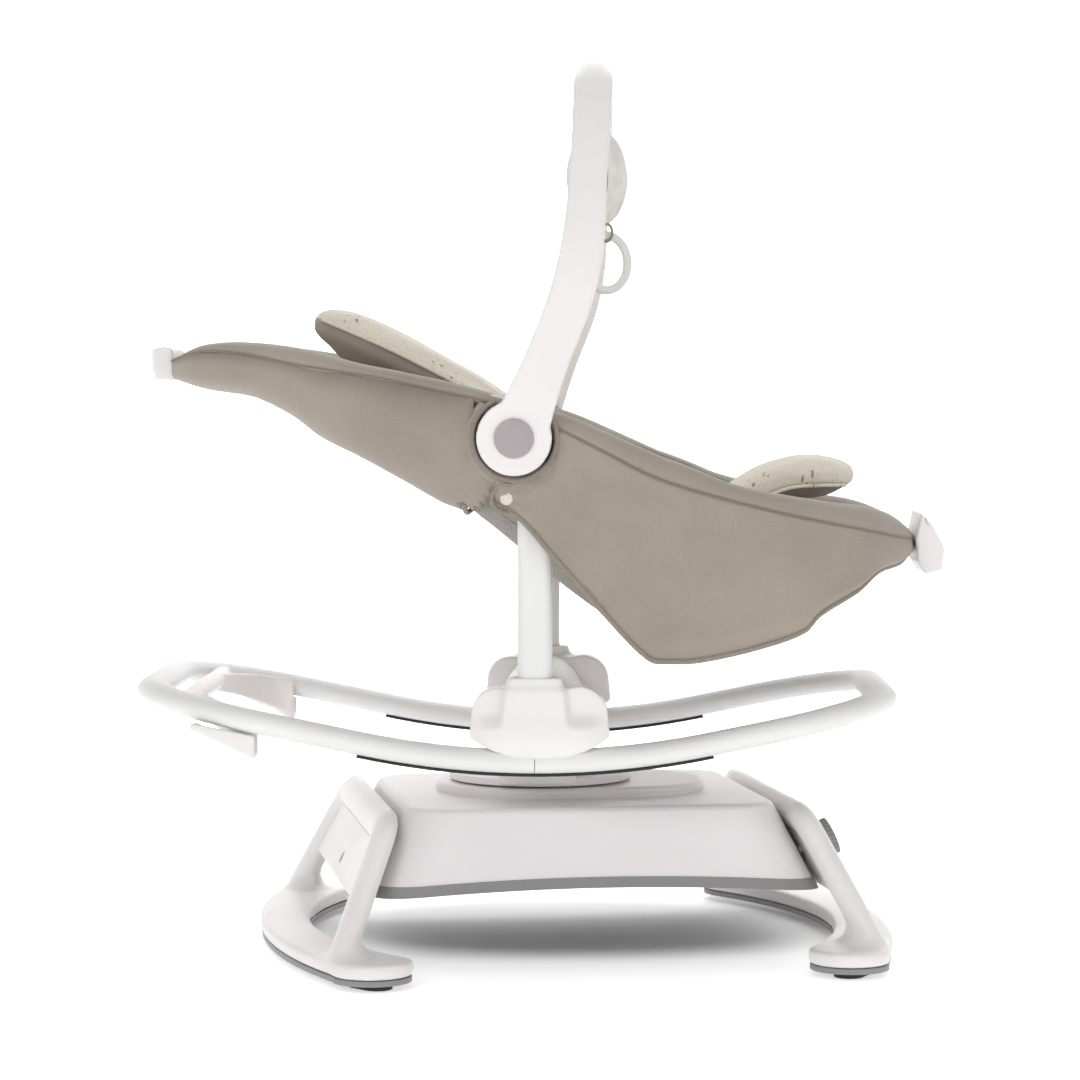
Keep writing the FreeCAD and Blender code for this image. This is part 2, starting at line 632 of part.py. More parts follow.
def carriage():
    """Sliding carriage with bushes, rack and turning post."""
    middle = -size("glide_offset")
    half_x, half_y = size("carriage_half_length"), size("carriage_half_width")
    low, high = size("carriage_bottom"), size("carriage_top")
    block = Part.makeBox(2 * half_x, 2 * half_y, high - low, Vector(middle - half_x, -half_y, low))
    block = block.makeFillet(6, [e for e in block.Edges if upright_edge(e)])
    bushes = []
    rod, fit = size("rod_radius"), size("rod_radius") + size("run_clearance")
    for y in (-size("rod_y"), size("rod_y")):
        tunnel = Vector(middle - half_x, y, size("rod_z"))
        block = block.cut(Part.makeCylinder(rod + 1, 2 * half_x, tunnel, X))
        for x in (middle - half_x, middle + half_x - size("bush_length")):
            start = Vector(x, y, size("rod_z"))
            solid = Part.makeCylinder(size("bush_radius"), size("bush_length"), start, X)
            block = block.cut(solid)
            bushes.append(solid.cut(Part.makeCylinder(fit, 60, start - X * 5, X)))
    block = block.cut(Part.makeCylinder(size("pivot_radius") + 4, high - low, Vector(middle, 0, low)))
    shaped("carriage_block", block, BASE)
    shaped("carriage_bushes", Part.makeCompound(bushes), BASE)
    post = Part.makeCylinder(size("pivot_radius") + 4, high - low, Vector(middle, 0, low))
    post = post.fuse([
        Part.makeCylinder(size("post_radius"), size("disc_bottom") - 0.4 - high, Vector(middle, 0, high)),
        Part.makeCylinder(size("pivot_radius"), 16, Vector(middle, 0, size("disc_bottom") - 0.4))])
    shaped("pivot_post", post.removeSplitter(), BASE)
    module, pitch_line = size("gear_module"), size("rack_line")
    pitch = math.pi * module
    count = int(2 * half_x / pitch) - 1
    depth = pitch_line - 1.25 * module - half_y
    rack = Part.makeBox(2 * half_x, depth, 11, Vector(middle - half_x, half_y, low + 1))
    teeth = []
    for index in range(-count, count + 1):
        x = (index + 0.5) * pitch
        if abs(x - middle) > half_x - 3:
            continue
        slope = math.tan(math.radians(20))
        root, tip = pitch / 4 - 0.1 + 1.25 * module * slope, pitch / 4 - 0.1 - 0.95 * module * slope
        low_y, high_y = pitch_line - 1.25 * module - 0.2, pitch_line + 0.95 * module
        corners = [(x - root, low_y), (x + root, low_y), (x + tip, high_y), (x - tip, high_y)]
        face = Part.Face(Part.makePolygon([Vector(a, b, low + 1) for a, b in corners + corners[:1]]))
        teeth.append(face.extrude(Z * 11))
    shaped("gear_rack", rack.fuse(teeth).removeSplitter(), BASE)


def upright_edge(edge):
    ends = [v.Point for v in edge.Vertexes]
    return len(ends) == 2 and abs(ends[0].x - ends[1].x) < 1e-6 and abs(ends[0].y - ends[1].y) < 1e-6


# ---------------------------------------------------------------- turntable and dock
def turntable():
    """Disc with the dock cradle that carries the cross beam of the rocker."""
    low, thick = size("disc_bottom"), size("disc_thickness")
    disc = cylinder("disc", "disc_radius", "disc_thickness", (0, 0, low))
    cradle = box("cradle", "2 * cradle_half_width", "2 * cradle_half_length",
                 "cradle_top - disc_bottom - disc_thickness / 2", (0, 0, low + thick / 2))
    hollow = box("cradle_hollow", "2 * cradle_half_width - 12", "2 * cradle_half_length - 12", 60,
                 (0, 0, low + thick + 6))
    boss = cylinder("pivot_boss", "pivot_radius + 8", "disc_thickness + 8", (0, 0, low))
    bore = cylinder("pivot_bore", "pivot_radius + run_clearance", 40, (0, 0, low - 10))
    window = box("lever_window", 60, 90, 7, (size("cradle_half_width"), 6, low + thick + 12.5))
    body_ = fuse("turntable_body", cut("cradle_shell", fuse("disc_and_cradle", disc, cradle), hollow), boss)
    finish(cut("turntable_cut", body_, bore, window), "turntable", SEAT)
    washer = cut("washer_cut", cylinder("washer", "pivot_radius + 5", 2, (0, 0, low + 15.7)),
                 cylinder("washer_hole", 2.5, 5, (0, 0, low + 15)))
    finish(washer, "pivot_washer", SEAT)


def lock_lever():
    """Lever in the cradle that turns a key under the cross beam."""
    low = size("disc_bottom") + size("disc_thickness") + 9
    arm = Part.makeBox(46, 12, 5, Vector(0, -6, low + 4.3))
    hub = Part.makeCylinder(9, 5, Vector(0, 0, low + 4.3))
    stem = Part.makeCylinder(2.9, 188 - low - 4.3, Vector(0, 0, low + 4.3))
    key = Part.makeBox(22, 5, 4, Vector(-11, -2.5, 184))
    shaped("lock_lever", arm.fuse([hub, stem, key]).removeSplitter(), SEAT)


# ---------------------------------------------------------------- rocker
def rail_height(x):
    """Height of the rail centre: a rocking arc that runs out in straight tangents."""
    r, half = size("rail_radius"), size("rail_arc_half")
    if abs(x) <= half:
        return size("rail_z") + r - math.sqrt(r * r - x * x)
    slope = half / math.sqrt(r * r - half * half)
    return rail_height(half) + (abs(x) - half) * slope


def rail_path(sign):
    """Centre line of one half of the loop, from near to far round one end."""
    gap = 0.3
    half, end = size("rail_arc_half"), size("rail_head_x") if sign < 0 else size("rail_foot_x")
    y, corner = size("rail_y"), size("rail_corner")
    def point(x, at_y):
        return Vector(sign * x, at_y, rail_height(x))
    mid = corner * math.sin(math.radians(45))
    turn_x, turn_y = end - corner, y - corner
    def corner_arc(side):
        a = point(turn_x, side * y)
        b = point(turn_x + mid, side * (turn_y + mid))
        c = point(end, side * turn_y)
        return a, b, c
    near, far = corner_arc(-1), corner_arc(1)
    return Part.Wire([
        Part.Arc(point(gap, -y), point(half / 2, -y), point(half, -y)).toShape(),
        Part.makeLine(point(half, -y), near[0]),
        Part.Arc(*near).toShape(),
        Part.makeLine(near[2], far[2]),
        Part.Arc(far[2], far[1], far[0]).toShape(),
        Part.makeLine(far[0], point(half, y)),
        Part.Arc(point(half, y), point(half / 2, y), point(gap, y)).toShape()])


def rail_sweep(sign, shrink):
    path = rail_path(sign)
    start = Vector(sign * 0.3, -size("rail_y"), rail_height(0.3))
    oval = Part.Ellipse(Vector(0, 0, 0), size("rail_half_width") - shrink, size("rail_half_height") - shrink)
    section = Part.Wire(oval.toShape())
    section.Placement = Placement(start, Rotation(Y, Z, X, "XYZ"))
    maker = Part.BRepOffsetAPI.MakePipeShell(path)
    maker.setBiNormalMode(Z)
    maker.add(section, False, False)
    maker.build()
    maker.makeSolid()
    return maker.shape()


def rails():
    """Two hollow half loops, and the solid envelopes that other parts are shaped round."""
    envelopes = []
    for sign, label in ((-1, "rail_loop_head"), (1, "rail_loop_foot")):
        outer = rail_sweep(sign, 0)
        envelopes.append(outer)
        shaped(label, outer.cut(rail_sweep(sign, size("tube_wall"))), SEAT)
    return envelopes


def treads():
    """Rubber strips under the rocking arcs."""
    half, low = size("rail_arc_half") + 5, size("rail_half_height")
    xs = [half * k / 5 for k in range(-5, 6)]
    strips = []
    for y in (-size("rail_y"), size("rail_y")):
        line = [(x, rail_height(x) - low - 1.05) for x in xs]
        strips.append(side_band(line, 2, y - 6, y + 6))
    shaped("tread_strips", Part.makeCompound(strips), SEAT)


def saddle(envelopes):
    """Moulded foot that sits over a rail and holds a post; the near one."""
    left, right = -57, 65
    bottom = Part.Arc(Vector(left, 0, 207), Vector(4, 0, 187), Vector(right, 0, 207)).toShape()
    shoulder_l = Part.Arc(Vector(-28, 0, 249), Vector(-47, 0, 244), Vector(left + 2, 0, 224)).toShape()
    shoulder_r = Part.Arc(Vector(right - 2, 0, 224), Vector(56, 0, 243), Vector(28, 0, 249)).toShape()
    wire = Part.Wire([
        bottom, Part.makeLine(Vector(right, 0, 207), Vector(right - 2, 0, 224)), shoulder_r,
        Part.makeLine(Vector(28, 0, 249), Vector(-28, 0, 249)), shoulder_l,
        Part.makeLine(Vector(left + 2, 0, 224), Vector(left, 0, 207))])
    face = Part.Face(wire)
    face.translate(Vector(0, -size("saddle_outer_y"), 0))
    block = face.extrude(Vector(0, size("saddle_outer_y") - size("saddle_inner_y"), 0))
    y = -size("upright_y")
    low = rounded_rectangle(29, 15, 6, 206)
    high = rounded_rectangle(23.5, 13.5, 6, 259)
    for wire in (low, high):
        wire.translate(Vector(0, y, 0))
    block = block.fuse(Part.makeLoft([low, high], True))
    block = block.cut(envelopes[0]).cut(envelopes[1])
    hole = upright_shape(y, 208, 300)
    return block.cut(hole).removeSplitter()


def upright_shape(y, low, high):
    """Oval post shaft between two heights."""
    half_x, half_y = size("upright_width") / 2, size("upright_depth") / 2
    face = Part.Face(rounded_rectangle(half_x, half_y, 8, low))
    face.translate(Vector(0, y, 0))
    return face.extrude(Vector(0, 0, high - low))


def upright_post(y):
    """Post whose head leans over to the recline axis."""
    shaft = upright_shape(y, 208, 436)
    half, depth = size("upright_width") / 2, size("upright_depth") / 2
    side_view = [(-half, 420), (half, 420), (HUB.x + 19, HUB.z), (HUB.x - 19, HUB.z)]
    neck = slab(side_view, y - depth + 1, y + depth - 1)
    head = Part.makeCylinder(size("boss_radius"), 2 * depth, Vector(HUB.x, y - depth, HUB.z), Y)
    bore = Part.makeCylinder(size("hub_pin_radius"), 100, Vector(HUB.x, y - 50, HUB.z), Y)
    return shaft.fuse([neck, head]).cut(bore).removeSplitter()


def rocker():
    envelopes = rails()
    treads()
    near = saddle(envelopes)
    shaped("saddle_near", near, SEAT)
    shaped("saddle_far", mirrored(near), SEAT)
    post = upright_post(-size("upright_y"))
    shaped("post_near", post, SEAT)
    shaped("post_far", mirrored(post), SEAT)
    inner_y, pin = size("saddle_inner_y"), size("hub_pin_radius")
    pins = Part.makeCylinder(pin, 39, Vector(HUB.x, -216, HUB.z), Y)
    head = Part.makeCylinder(pin + 4, 4, Vector(HUB.x, -size("upright_y") + 10, HUB.z), Y)
    shaped("hub_pins", both_sides(pins.fuse(head).removeSplitter()), SEAT)
    half, length, wall = size("beam_half_width"), size("beam_half_length"), size("wall")
    bottom, parting, top = size("beam_bottom"), size("beam_parting"), size("beam_top")
    tray_box = Part.makeBox(2 * half, 2 * length, parting - bottom, Vector(-half, -length, bottom))
    inner_corner = Vector(-half + wall, -length + wall, bottom + wall)
    tray_box = tray_box.cut(Part.makeBox(2 * (half - wall), 2 * (length - wall), 60, inner_corner))
    tray_box = tray_box.cut(Part.makeBox(24, 7, 10, Vector(-12, -3.5, bottom - 2)))
    shaped("beam_tray", tray_box, SEAT)
    def dome(inset):
        side = half - inset
        start, end = Vector(side, 0, parting), Vector(-side, 0, parting)
        arc = Part.Arc(start, Vector(0, 0, top - inset), end).toShape()
        face = Part.Face(Part.Wire([arc, Part.makeLine(end, start)]))
        face.translate(Vector(0, -length + inset, 0))
        return face.extrude(Vector(0, 2 * (length - inset), 0))
    shaped("beam_cover", dome(0).cut(dome(wall)), SEAT)
    kickstand(envelopes)


def kickstand(envelopes):
    """U-shaped stand that folds down behind the head end and stops the rocking."""
    x = -310
    z = rail_height(310)
    rod = Part.makeCylinder(4, 340, Vector(x, -170, z), Y)
    rod = rod.cut(envelopes[0])
    middle = sorted(rod.Solids, key=lambda s: s.Volume)[-1]
    shaped("kickstand_rod", middle, SEAT)
    sleeve = Part.makeCylinder(9, 250, Vector(x, -125, z), Y)
    plate = slab([(x + 2, z + 8.5), (x + 52, z + 2), (x + 52, z - 3), (x + 2, z + 2)], -125, 125)
    stand = sleeve.fuse(plate)
    side_view = [
        (x - 6, z + 7), (x + 50, z + 2), (x + 66, z - 22), (x + 58, z - 34), (x + 8, z - 9), (x - 6, z - 7)]
    for y in (-125, 109):
        stand = stand.fuse(slab(side_view, y, y + 16))
    stand = stand.cut(Part.makeCylinder(4 + size("run_clearance"), 400, Vector(x, -200, z), Y))
    shaped("kickstand", stand.removeSplitter(), SEAT)


# ---------------------------------------------------------------- seat
RIM_LINE = [
    (-352, 528), (-324, 542), (-300, 549), (-259, 549), (-204, 542), (-159, 531), (-115, 523), (-72, 514),
    (-25, 502), (22, 490), (56, 477), (99, 460), (142, 443), (172, 430), (212, 419), (274, 409), (308, 404),
    (330, 395), (352, 372)]
BELLY_LINE = [
    (-350, 524), (-303, 509), (-253, 501), (-216, 485), (-189, 465), (-153, 448), (-118, 431), (-83, 413),
    (-61, 403), (-14, 362), (21, 332), (56, 306), (100, 276), (143, 266), (196, 277), (248, 306), (285, 327),
    (320, 350), (352, 376)]
INSERT_LINE = [
    (-190, 562), (-120, 538), (-40, 492), (20, 434), (70, 366), (118, 320), (165, 334), (200, 392),
    (236, 424), (276, 430)]
BUCKLE_PLACE = Placement(Vector(82, 0, 382.8), Rotation(Y, 56))
SKIRT_LINE = [(-12, 396), (18, 361), (56, 317), (104, 270), (143, 266.5)]


def plan_solid(inset):
    """Plan shape of the seat as a tall solid, straight in the middle and elliptic at both ends."""
    half, head, foot = size("cover_y") - inset, size("plan_head_x"), size("plan_foot_x")
    shape = Part.makeBox(foot - head, 2 * half, 700, Vector(head, -half, 0))
    for centre, reach in ((head, size("plan_head_reach")), (foot, size("plan_foot_reach"))):
        oval = Part.Ellipse(Vector(centre, 0, 0), reach - inset, half)
        shape = shape.fuse(Part.Face(Part.Wire(oval.toShape())).extrude(Z * 700))
    return shape.removeSplitter()


def side_region(upper, lower):
    """Everything between two side lines, across the whole width."""
    top, bottom = Part.BSplineCurve(), Part.BSplineCurve()
    top.interpolate([Vector(x, -300, z) for x, z in upper])
    bottom.interpolate([Vector(x, -300, z) for x, z in lower])
    a, b = Vector(upper[0][0], -300, upper[0][1]), Vector(lower[0][0], -300, lower[0][1])
    c, d = Vector(upper[-1][0], -300, upper[-1][1]), Vector(lower[-1][0], -300, lower[-1][1])
    wire = Part.Wire([top.toShape(), Part.makeLine(c, d), bottom.toShape(), Part.makeLine(b, a)])
    return Part.Face(wire).extrude(Vector(0, 600, 0))


def shifted(line, dz, x_from=-999, x_to=999):
    return [(x, z + dz) for x, z in line if x_from <= x <= x_to]


def tube_reach(x):
    """Half width of the tube frame at x: a little inside the seat's plan shape."""
    inset = size("cover_thickness") + size("seat_tube_radius") + 4.5
    half = size("cover_y") - 12
    ends = [(size("plan_head_x"), -size("plan_head_reach")), (size("plan_foot_x"), size("plan_foot_reach"))]
    for centre, reach in ends:
        along = (x - centre) / (reach - math.copysign(inset, reach))
        if along > 0:
            half = (size("cover_y") - 12) * math.sqrt(max(0, 1 - along * along))
    return half


def seat_tubes():
    """Two bent steel tubes that carry the rim of the seat."""
    head = [(-18, 496), (-72, 502), (-115, 509), (-159, 516), (-204, 525), (-259, 532), (-300, 532),
            (-318, 528), (-323.5, 526)]
    foot = [(-16, 497), (22, 478), (56, 463), (99, 446), (142, 429), (172, 417), (212, 405), (274, 394),
            (306, 389), (322, 380), (327.5, 376)]
    solids = []
    for label, side_line in (("seat_tube_head", head), ("seat_tube_foot", foot)):
        line = [(x, tube_reach(x), z) for x, z in side_line]
        path_points = line + [(x, -b, z) for x, b, z in reversed(line[:-1])]
        spline = Part.BSplineCurve()
        spline.interpolate([Vector(*p) for p in path_points])
        path = Part.Wire(spline.toShape())
        start, direction = Vector(*path_points[0]), spline.tangent(spline.FirstParameter)[0]
        def sweep(radius):
            section = Part.Wire(Part.makeCircle(radius, start, direction))
            maker = Part.BRepOffsetAPI.MakePipeShell(path)
            maker.setFrenetMode(False)
            maker.add(section, False, False)
            maker.build()
            maker.makeSolid()
            return maker.shape()
        outer = sweep(size("seat_tube_radius"))
        solids.append(outer)
        shaped(label, outer.cut(sweep(size("seat_tube_radius") - size("tube_wall"))), SEAT)
    return solids


def seat_hubs(tubes):
    """Cast hubs that join the tubes and turn on the recline pins."""
    inner, outer = size("hub_inner_y"), size("hub_outer_y")
    disc = Part.makeCylinder(size("hub_radius"), outer - inner, Vector(HUB.x, -outer, HUB.z), Y)
    spigot = Part.makeCylinder(size("arch_pin_radius"), 232.5 - outer, Vector(HUB.x, -232.5, HUB.z), Y)
    socket = Part.makeBox(40, 18.5, 14, Vector(HUB.x - 20, -outer, 489.5))
    hub = disc.fuse([spigot, socket])
    fit = size("hub_pin_radius") + size("run_clearance")
    bore = Part.makeCylinder(fit, 14, Vector(HUB.x, -216.3, HUB.z), Y)
    hub = hub.cut(bore).cut(tubes[0]).cut(tubes[1]).removeSplitter()
    hubs = both_sides(sorted(hub.Solids, key=lambda s: s.Volume)[-1])
    shaped("seat_hubs", hubs, SEAT)
    return hubs


def handle_block():
    return slab([(-330, 516), (-349, 517), (-352, 545), (-340, 547), (-333, 545)], -45, 45)


def vibration_block():
    return slab([(341, 373), (346, 396), (356, 386), (367, 364), (365, 345), (350, 341), (343, 352)], -52, 52)


def covers():
    """Outer fabric of the seat: the head half and the foot half with its hanging skirt."""
    ring = plan_solid(0).cut(plan_solid(size("cover_thickness")))
    head_low = [p for p in BELLY_LINE if p[0] <= -61] + [(-31, 417 - 15), (-14, 398)]
    foot_low = [(-14, 398)] + SKIRT_LINE[1:] + [(196, 276), (241, 293), (285, 326), (320, 348), (352, 370)]
    head_top = [p for p in RIM_LINE if p[0] <= -25] + [(-14, 499)]
    foot_top = [(-14, 499)] + [p for p in RIM_LINE if p[0] >= 22]
    hole = Part.makeCylinder(size("arch_pin_radius") + 1, 600, Vector(HUB.x, -300, HUB.z), Y)
    head = ring.common(side_region(head_top, head_low)).cut(hole).cut(handle_block())
    foot = ring.common(side_region(foot_top, foot_low)).cut(hole).cut(vibration_block())
    foot = foot.cut(Part.makeBox(0.6, 600, 400, Vector(-14, -300, 300)))
    shaped("cover_head", head, SEAT)
    shaped("cover_foot", foot, SEAT)
    snap = Part.makeCylinder(5.5, 3, Vector(-24, -size("cover_y") - 3, 414), Y)
    shaped("snap_buttons", both_sides(snap), SEAT)


def soft_parts(tubes, hubs):
    """Padded rim, sling sewn from a long middle panel and two side panels, and the newborn insert."""
    ring = plan_solid(size("cover_thickness") + 0.3).cut(plan_solid(size("rim_width")))
    rim = ring.common(side_region(shifted(RIM_LINE, -1), shifted(RIM_LINE, -1 - size("rim_depth"))))
    clear = Part.makeCylinder(36, 600, Vector(HUB.x, -300, HUB.z), Y)
    rim = rim.cut(clear).cut(tubes[0]).cut(tubes[1]).cut(hubs).cut(handle_block()).cut(vibration_block())
    solids = sorted(rim.Solids, key=lambda s: s.Volume)
    shaped("rim_cushion", Part.makeCompound([s for s in solids if s.Volume > 2000]), SEAT)
    thick, y = size("sling_thickness"), size("sling_y")
    inset = size("rim_width") + 1
    outer = plan_solid(inset).common(Part.makeBox(900, 2 * y, 700, Vector(-450, -y, 0)))
    room = Part.makeBox(900, 2 * (y - thick), 700, Vector(-450, -y + thick, 0))
    inner = plan_solid(inset + thick).common(room)
    whole = side_region(shifted(RIM_LINE, -3), BELLY_LINE)
    above = side_region(shifted(RIM_LINE, 60), shifted(BELLY_LINE, thick + 2))
    sling = outer.common(whole).cut(inner.common(above))
    middle = Part.makeBox(900, 2 * (y - thick) - 0.1, 700, Vector(-450, -y + thick + 0.05, 0))
    near = Part.makeBox(900, thick, 700, Vector(-450, -y, 0))
    panels = [sling.common(middle), sling.common(near), sling.common(mirrored(near))]
    panels = [sorted(p.Solids, key=lambda s: s.Volume)[-1] for p in panels]
    shaped("seat_sling", Part.makeCompound(panels), SEAT)
    half = size("insert_half_width")
    insert = side_band(INSERT_LINE, size("insert_thickness"), -half, half)
    shaped("body_insert", insert, SEAT)


def insert_piece(start_x, end_x, low_y, high_y, thickness, lift):
    """A piece that follows the insert's line from one x to another, lifted off its middle."""
    spline = Part.BSplineCurve()
    spline.interpolate([Vector(x, 0, z) for x, z in INSERT_LINE])
    first, last = spline.FirstParameter, spline.LastParameter
    line = []
    for i in range(201):
        point = spline.value(first + (last - first) * i / 200)
        if start_x <= point.x <= end_x:
            line.append((point.x, point.z))
    keep = max(1, len(line) // 6)
    return side_band(line[::keep], thickness, low_y, high_y, lift)


def harness():
    """Waist and crotch webbing lying on the insert, with its buckle and release button."""
    half_web, thick = size("strap_width") / 2, size("strap_thickness")
    face = size("insert_thickness") / 2 + 0.3
    reach = size("insert_half_width") - 4
    on_face = face + thick / 2
    waist = insert_piece(58, 73, -reach, -22.5, thick, on_face)
    crotch = insert_piece(84, 152, -half_web, half_web, thick, on_face)
    shaped("harness_straps", Part.makeCompound([waist, mirrored(waist), crotch]), SEAT)
    case = insert_piece(51, 81, -22, 22, 12, face + 6)
    place = BUCKLE_PLACE
    pocket = Part.makeBox(16, 16, 20, Vector(-8, -8, 0.5))
    pocket.Placement = place.multiply(pocket.Placement)
    shaped("harness_buckle", case.cut(pocket), SEAT)
    key = Part.makeBox(15.2, 15.2, 5.6, Vector(-7.6, -7.6, 2.9))
    key.Placement = place.multiply(key.Placement)
    shaped("buckle_button", key, SEAT)


def units(tubes):
    """Recline handle at the head end, vibration unit at the foot end."""
    slot = slab([(-341, 523), (-353, 523), (-353, 541), (-341, 541)], -36, 36)
    handle = handle_block().cut(slot).cut(tubes[0])
    shaped("recline_housing", handle.removeSplitter(), SEAT)
    lever = slab([(-347, 524), (-352.6, 524), (-353, 540), (-347, 540)], -35.5, 35.5)
    shaped("recline_lever", lever, SEAT)
    case = vibration_block()
    hollow = slab([(347, 378), (354, 378), (360, 362), (358, 350), (350, 348), (347, 356)], -47, 47)
    bore = Part.makeBox(40, 40, 12, Vector(350, -20, 357))
    case = case.cut(hollow).cut(bore)
    shaped("vibration_housing", case.removeSplitter(), SEAT)
    key = Part.makeBox(12.5, 39.4, 11.4, Vector(355.3, -19.7, 357.3))
    shaped("vibration_button", key, SEAT)
    motor = Part.makeCylinder(6, 26, Vector(353, 22, 359), Y)
    shaped("vibration_motor", motor.common(hollow), SEAT)


# ---------------------------------------------------------------- toy arch
def arch():
    """Broad bow over the seat, with its hub discs and grey caps."""
    outer_y, inner_y = size("arch_outer_y"), size("arch_inner_y")
    spring, top = size("arch_spring_z"), size("arch_top")
    band = outer_y - inner_y
    def front(half, high):
        rise = high - spring
        bow = Part.Ellipse(Vector(0, 0, 0), max(half, rise), min(half, rise)).toShape()
        wire = Part.Wire(bow)
        long_way, short_way = (Y, Z) if half >= rise else (Z, Y)
        wire.Placement = Placement(Vector(-100, 0, spring), Rotation(long_way, short_way, X, "XYZ"))
        upper = Part.Face(wire).extrude(Vector(300, 0, 0))
        return upper.fuse(Part.makeBox(300, 2 * half, spring - HUB.z, Vector(-100, -half, HUB.z)))
    bow = front(outer_y, top).cut(front(inner_y, top - band + 2))
    left = [(-46, 466), (-28, 496), (-5, 543), (10, 581), (22, 626), (29, 683), (32, 752), (33, 810)]
    right = [(12, 466), (22, 506), (35, 543), (45, 568), (59, 626), (62, 683), (66, 752), (67, 810)]
    def side(line):
        spline = Part.BSplineCurve()
        spline.interpolate([Vector(x, -300, z) for x, z in line])
        return spline.toShape()
    wire = Part.Wire([
        side(left), Part.makeLine(Vector(33, -300, 810), Vector(67, -300, 810)), side(right),
        Part.makeLine(Vector(12, -300, 466), Vector(-46, -300, 466))])
    profile = Part.Face(wire).extrude(Vector(0, 600, 0))
    bow = bow.common(profile)
    hub_r = size("arch_hub_radius")
    for y in (-outer_y, inner_y):
        bow = bow.fuse(Part.makeCylinder(hub_r, band, Vector(HUB.x, y, HUB.z), Y))
    fit = size("arch_pin_radius") + size("run_clearance")
    bore = Part.makeCylinder(fit, 600, Vector(HUB.x, -300, HUB.z), Y)
    bow = bow.cut(bore).removeSplitter()
    shaped("toy_arch", bow, SEAT)
    cap = Part.makeCylinder(size("cap_radius"), 2.5, Vector(HUB.x, -outer_y - 2.6, HUB.z), Y)
    shaped("hub_caps", both_sides(cap), SEAT)


def toys():
    """Hanging plush toy on a ribbon, and the ring below it."""
    x, z = size("toy_x"), size("toy_z")
    tall, wide = size("toy_half_height"), size("toy_half_width")
    plush = Part.makeSphere(tall)
    shrink = FreeCAD.Matrix()
    shrink.scale(Vector(wide / tall, 36 / tall, 1))
    plush = plush.transformGeometry(shrink)
    plush.translate(Vector(x, 0, z))
    arch_low = size("arch_top") - (size("arch_outer_y") - size("arch_inner_y")) + 2
    ribbon = Part.makeBox(3, 12, arch_low - 1.2 - (z + tall - 3), Vector(x - 1.5, -6, z + tall - 3))
    loop = Part.makeTorus(8, 1.2, Vector(0, 0, 0), X)
    loop.rotate(Vector(0, 0, 0), Z, size("ring_turn"))
    loop.translate(Vector(x + 9, 0, size("ring_z") + size("ring_radius") + 2.5))
    shaped("plush_toy", plush.fuse([ribbon, loop]).removeSplitter(), SEAT)
    ring = Part.makeTorus(size("ring_radius"), size("ring_tube"), Vector(0, 0, 0), Y)
    ring.rotate(Vector(0, 0, 0), Z, size("ring_turn"))
    ring.translate(Vector(x + 9, 0, size("ring_z")))
    shaped("toy_ring", ring, SEAT)


def screws():
    """Screws up through the floor of the base, in groups of matching places."""
    solids = []
    for x in (-150, 0, 150):
        for y in (-1, 1):
            level = edge_level(x, 1)
            at = Vector(x, y * 160, level - 2.6)
            solids.append(Part.makeCylinder(4, 1.9, at))
    shaped("housing_screws", Part.makeCompound(solids), BASE)


legs()
pads()
housing()
tray()
battery_door()
end_panels()
controls()
drive()
carriage()
screws()
turntable()
lock_lever()
rocker()
steel_tubes = seat_tubes()
hub_shapes = seat_hubs(steel_tubes)
covers()
soft_parts(steel_tubes, hub_shapes)
harness()
units(steel_tubes)
arch()
toys()

doc.recompute()
problems = [o.Label for o in doc.Objects if "Invalid" in o.State or "Error" in o.State]
for part in SUBPARTS:
    if part.Shape.isNull() or not part.Shape.isValid() or not part.Shape.Solids:
        problems.append(part.Label)
if problems:
    raise RuntimeError("failed: " + ", ".join(problems))
for part in SUBPARTS:
    part.Shape.exportStep(f"parts/{part.Label}.step")
print(len(SUBPARTS), "sub-parts")
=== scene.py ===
import json
import math

import bpy
import bmesh
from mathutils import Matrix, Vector, noise

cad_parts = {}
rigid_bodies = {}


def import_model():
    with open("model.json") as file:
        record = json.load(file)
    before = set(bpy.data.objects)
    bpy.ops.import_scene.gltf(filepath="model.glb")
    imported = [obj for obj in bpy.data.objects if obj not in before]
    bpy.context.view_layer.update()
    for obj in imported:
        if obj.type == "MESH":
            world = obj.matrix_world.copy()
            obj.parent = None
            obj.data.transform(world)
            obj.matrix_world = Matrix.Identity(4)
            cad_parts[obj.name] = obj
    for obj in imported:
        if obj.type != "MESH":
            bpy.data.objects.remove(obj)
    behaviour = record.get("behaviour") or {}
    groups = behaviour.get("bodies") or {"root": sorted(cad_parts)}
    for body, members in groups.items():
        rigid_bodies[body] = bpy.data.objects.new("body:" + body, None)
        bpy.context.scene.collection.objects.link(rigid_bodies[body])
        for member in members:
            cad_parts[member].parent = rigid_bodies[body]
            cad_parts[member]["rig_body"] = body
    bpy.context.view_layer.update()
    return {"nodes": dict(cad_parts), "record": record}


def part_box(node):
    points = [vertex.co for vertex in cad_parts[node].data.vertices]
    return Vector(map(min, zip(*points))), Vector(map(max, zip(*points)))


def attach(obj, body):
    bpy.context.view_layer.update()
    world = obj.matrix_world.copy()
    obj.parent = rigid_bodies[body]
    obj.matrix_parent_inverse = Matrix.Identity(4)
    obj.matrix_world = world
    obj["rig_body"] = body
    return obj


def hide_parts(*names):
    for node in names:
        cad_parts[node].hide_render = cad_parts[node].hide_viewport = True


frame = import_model()
NODES = frame["nodes"]
SLOT_OF = {p["node"]: p["material_slot"] for p in frame["record"]["subparts"]}

